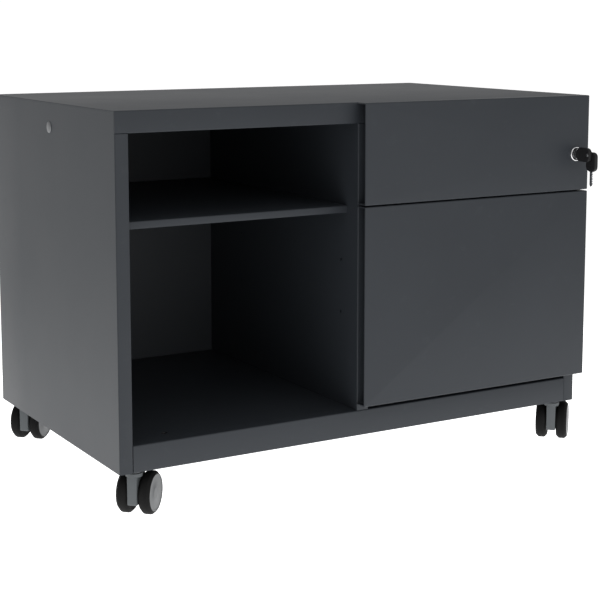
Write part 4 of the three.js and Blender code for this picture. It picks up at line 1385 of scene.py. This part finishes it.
class CABINET_OT_castors(bpy.types.Operator):
    """Makes the castors' stems and forks"""

    bl_idname = "cabinet.castors"
    bl_label = "Castors"

    def execute(self, context):
        for label in CORNERS:
            x, y, _ = middle(f"castor_stem_{label}")
            castor_stem(label, x, y)
            castor_fork(label, x, y)
        return {"FINISHED"}


def castor_wheel(name, x, y, out):
    """A wheel on the side of its fork that out gives: a rubber tread that covers its inner side, round a
    moulded hub disc on its outer side."""
    sizes = bpy.context.scene.cabinet_castors
    rubber, grey = finish("tread rubber"), finish("hub moulding")
    start = sizes.gap / 2
    end = start + sizes.wheel_width
    edge, hub = sizes.edge, sizes.hub
    low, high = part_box(name)
    radius = (high.z - low.z) / 2
    axis = (sizes.trail, radius)
    bore, seat = 3.4 * MM, end - 2.9 * MM
    tread = [
        (bore, seat), (bore, start + 0.6 * MM), (bore + 0.5 * MM, start + 0.2 * MM),
        (8.0 * MM, start + 0.2 * MM), (8.8 * MM, start + 1.0 * MM), (20.0 * MM, start + 1.4 * MM),
        (radius - edge - 2.0 * MM, start + 0.8 * MM), (radius - edge, start),
        (radius - edge * 0.5, start + edge * 0.5),
        (radius - 0.3 * MM, start + edge * 0.95), (radius, start + edge * 1.2),
        (radius, end - edge * 1.2), (radius - 0.3 * MM, end - edge * 0.95),
        (radius - edge * 0.5, end - edge * 0.5), (radius - edge, end),
        (hub + 0.1 * MM, end), (hub, end - 0.2 * MM), (hub, seat),
    ]
    disc = from_face([
        (2.0, -2.6), (25.9, -2.6), (26.1, -2.3), (26.1, -0.5), (25.7, -0.2), (24.6, -0.15),
        (24.2, -0.5), (9.0, -0.7), (8.6, -0.4), (7.0, -0.3), (2.0, -0.25),
    ], end)
    for part, profile, hollow, material, slot, nodes in (
        ("tread", tread, True, rubber, "tread_rubber", [name]),
        ("hub", disc, False, grey, "grey_plastic", []),
    ):
        shape = turned([(r, out * along) for r, along in profile], axis, "X", 72, hollow)
        shape = swivelled(shape, sizes.swivel, x, y)
        add_piece(f"{name}_{part}", name, nodes, slot, [(shape, material)])


class CABINET_OT_wheels(bpy.types.Operator):
    """Makes the castors' wheels, each a rubber tread round a moulded hub"""

    bl_idname = "cabinet.wheels"
    bl_label = "Wheels"

    def execute(self, context):
        for label in CORNERS:
            x, y, _ = middle(f"castor_stem_{label}")
            castor_wheel(f"castor_wheel_{label}_left", x, y, -1)
            castor_wheel(f"castor_wheel_{label}_right", x, y, 1)
        return {"FINISHED"}


class CABINET_OT_bare_nodes(bpy.types.Operator):
    """Gives the frame's own lock bar and axles their finish"""

    bl_idname = "cabinet.bare_nodes"
    bl_label = "Lock bar and axles"

    def execute(self, context):
        zinc = finish("zinc plating")
        for name in ("lock_bar", *(f"castor_axle_{label}" for label in CORNERS)):
            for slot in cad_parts[name].material_slots:
                slot.material = zinc
        return {"FINISHED"}


# ---------------------------------------------------------------- floor, light and camera
def pale_floor(view, scene):
    """A wide floor that glows by its distance r from the middle: a painted pool of light near it, glow far
    from it, and a smooth step from one to the other over r.
    The glow is painted light: the floor shines though it is no lamp, lighting the cabinet's lower faces and
    washing out the shadow under it."""
    material = bpy.data.materials.new("pale floor")
    material.use_nodes = True
    shader = material.node_tree.nodes["Principled BSDF"]
    shader.inputs["Base Color"].default_value = (*view.floor, 1)
    shader.inputs["Roughness"].default_value = 0.9
    shader.inputs["Specular IOR Level"].default_value = 0.1
    shader.inputs["Emission Color"].default_value = (1, 1, 1, 1)
    add, link = node_tools(material.node_tree)
    place = add("ShaderNodeTexCoord")
    away = add("ShaderNodeVectorMath", operation="LENGTH")
    glow = add("ShaderNodeMapRange", {
        "From Min": 0.4, "From Max": 1.8, "To Min": view.pool, "To Max": view.glow,
    }, interpolation_type="SMOOTHSTEP")
    link(place.outputs["Object"], away.inputs[0])
    link(away.outputs["Value"], glow.inputs["Value"])
    # Painted light: the floor's own emission stands in for bounce light and hides the cast shadow.
    link(glow.outputs["Result"], shader.inputs["Emission Strength"])
    half, below = 30.0, -0.5 * MM
    corners = np.array([
        [-half, -half, below], [half, -half, below], [half, half, below], [-half, half, below],
    ])
    floor = bpy.data.objects.new("floor", mesh_of("floor", Shape(corners, np.arange(4), np.array([4]))))
    floor.data.materials.append(material)
    scene.collection.objects.link(floor)


def even_light(view, scene):
    """White all round, brighter where the camera sees it than where it lights the cabinet."""
    world = bpy.data.worlds.new("even light")
    world.use_nodes = True
    background = world.node_tree.nodes["Background"]
    background.inputs["Color"].default_value = (1, 1, 1, 1)
    add, link = node_tools(world.node_tree)
    path = add("ShaderNodeLightPath")
    brightness = add("ShaderNodeMapRange", {"To Min": view.sky, "To Max": 1.05})
    link(path.outputs["Is Camera Ray"], brightness.inputs["Value"])
    link(brightness.outputs["Result"], background.inputs["Strength"])
    scene.world = world
    scene.view_settings.view_transform = "Standard"


SOFTBOXES = (
    # name, where it stands, width in metres, power in watts
    ("overhead softbox", (-0.6, -0.4, 3.4), 3.0, 18),
    ("left softbox", (-3.4, -0.6, 1.2), 2.4, 2),
    ("front softbox", (0.4, -4.0, 1.4), 2.4, 20),
)


def softboxes(scene):
    """Square lamps that all face the middle of the cabinet."""
    aim = np.array([0, 0, 0.3])
    for name, place, width, power in SOFTBOXES:
        light = bpy.data.lights.new(name, "AREA")
        light.shape = "SQUARE"
        light.size = width
        light.energy = power
        lamp = bpy.data.objects.new(name, light)
        scene.collection.objects.link(lamp)
        way = aim - np.array(place, float)
        across = math.hypot(way[0], way[1])
        lamp.location = place
        lamp.rotation_euler = (math.atan2(across, -way[2]), 0.0, math.atan2(-way[0], way[1]))


def set_camera(view, scene):
    """The camera, turned right by its heading and down by its dip."""
    camera = bpy.data.objects.new("camera", bpy.data.cameras.new("camera"))
    scene.collection.objects.link(camera)
    camera.data.sensor_width = 36.0
    camera.data.lens = view.lens
    camera.data.shift_y = view.rise
    camera.data.clip_end = 200.0
    camera.location = view.place
    camera.rotation_euler = (math.pi / 2 - view.dip, 0.0, -view.heading)
    scene.camera = camera


class CABINET_OT_stage(bpy.types.Operator):
    """Lays the pale floor and sets the studio light and the camera"""

    bl_idname = "cabinet.stage"
    bl_label = "Stage"

    def execute(self, context):
        view, scene = context.scene.cabinet_view, context.scene
        pale_floor(view, scene)
        even_light(view, scene)
        softboxes(scene)
        set_camera(view, scene)
        return {"FINISHED"}


class CABINET_PT_panel(bpy.types.Panel):
    """Lists the cabinet's pieces in the order in which they are made"""

    bl_idname = "CABINET_PT_panel"
    bl_label = "Rolling pedestal cabinet"
    bl_space_type = "VIEW_3D"
    bl_region_type = "UI"
    bl_category = "Cabinet"

    def draw(self, context):
        for operator in OPERATORS:
            self.layout.operator(operator.bl_idname)


PROPERTY_GROUPS = {
    "cabinet_sheet": CabinetSheetSizes,
    "cabinet_drawers": CabinetDrawerSizes,
    "cabinet_castors": CabinetCastorSizes,
    "cabinet_colours": CabinetColours,
    "cabinet_view": CabinetView,
}
OPERATORS = (
    CABINET_OT_stage,
    CABINET_OT_finishes,
    CABINET_OT_carcass,
    CABINET_OT_fittings,
    CABINET_OT_drawer_fronts,
    CABINET_OT_drawer_boxes,
    CABINET_OT_slides,
    CABINET_OT_lock,
    CABINET_OT_keys,
    CABINET_OT_castors,
    CABINET_OT_wheels,
    CABINET_OT_bare_nodes,
)


def register():
    """Registers the properties, the operators and the panel."""
    for group in PROPERTY_GROUPS.values():
        bpy.utils.register_class(group)
    for name, group in PROPERTY_GROUPS.items():
        setattr(bpy.types.Scene, name, bpy.props.PointerProperty(type=group))
    for operator in OPERATORS:
        bpy.utils.register_class(operator)
    bpy.utils.register_class(CABINET_PT_panel)


def unregister():
    """Takes back what register does, in reverse order."""
    bpy.utils.unregister_class(CABINET_PT_panel)
    for operator in reversed(OPERATORS):
        bpy.utils.unregister_class(operator)
    for name in PROPERTY_GROUPS:
        delattr(bpy.types.Scene, name)
    for group in reversed(PROPERTY_GROUPS.values()):
        bpy.utils.unregister_class(group)


def main():
    """Registers the add-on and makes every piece."""
    register()
    for operator in OPERATORS:
        family, name = operator.bl_idname.split(".")
        getattr(getattr(bpy.ops, family), name)()


if __name__ == "__main__":
    main()
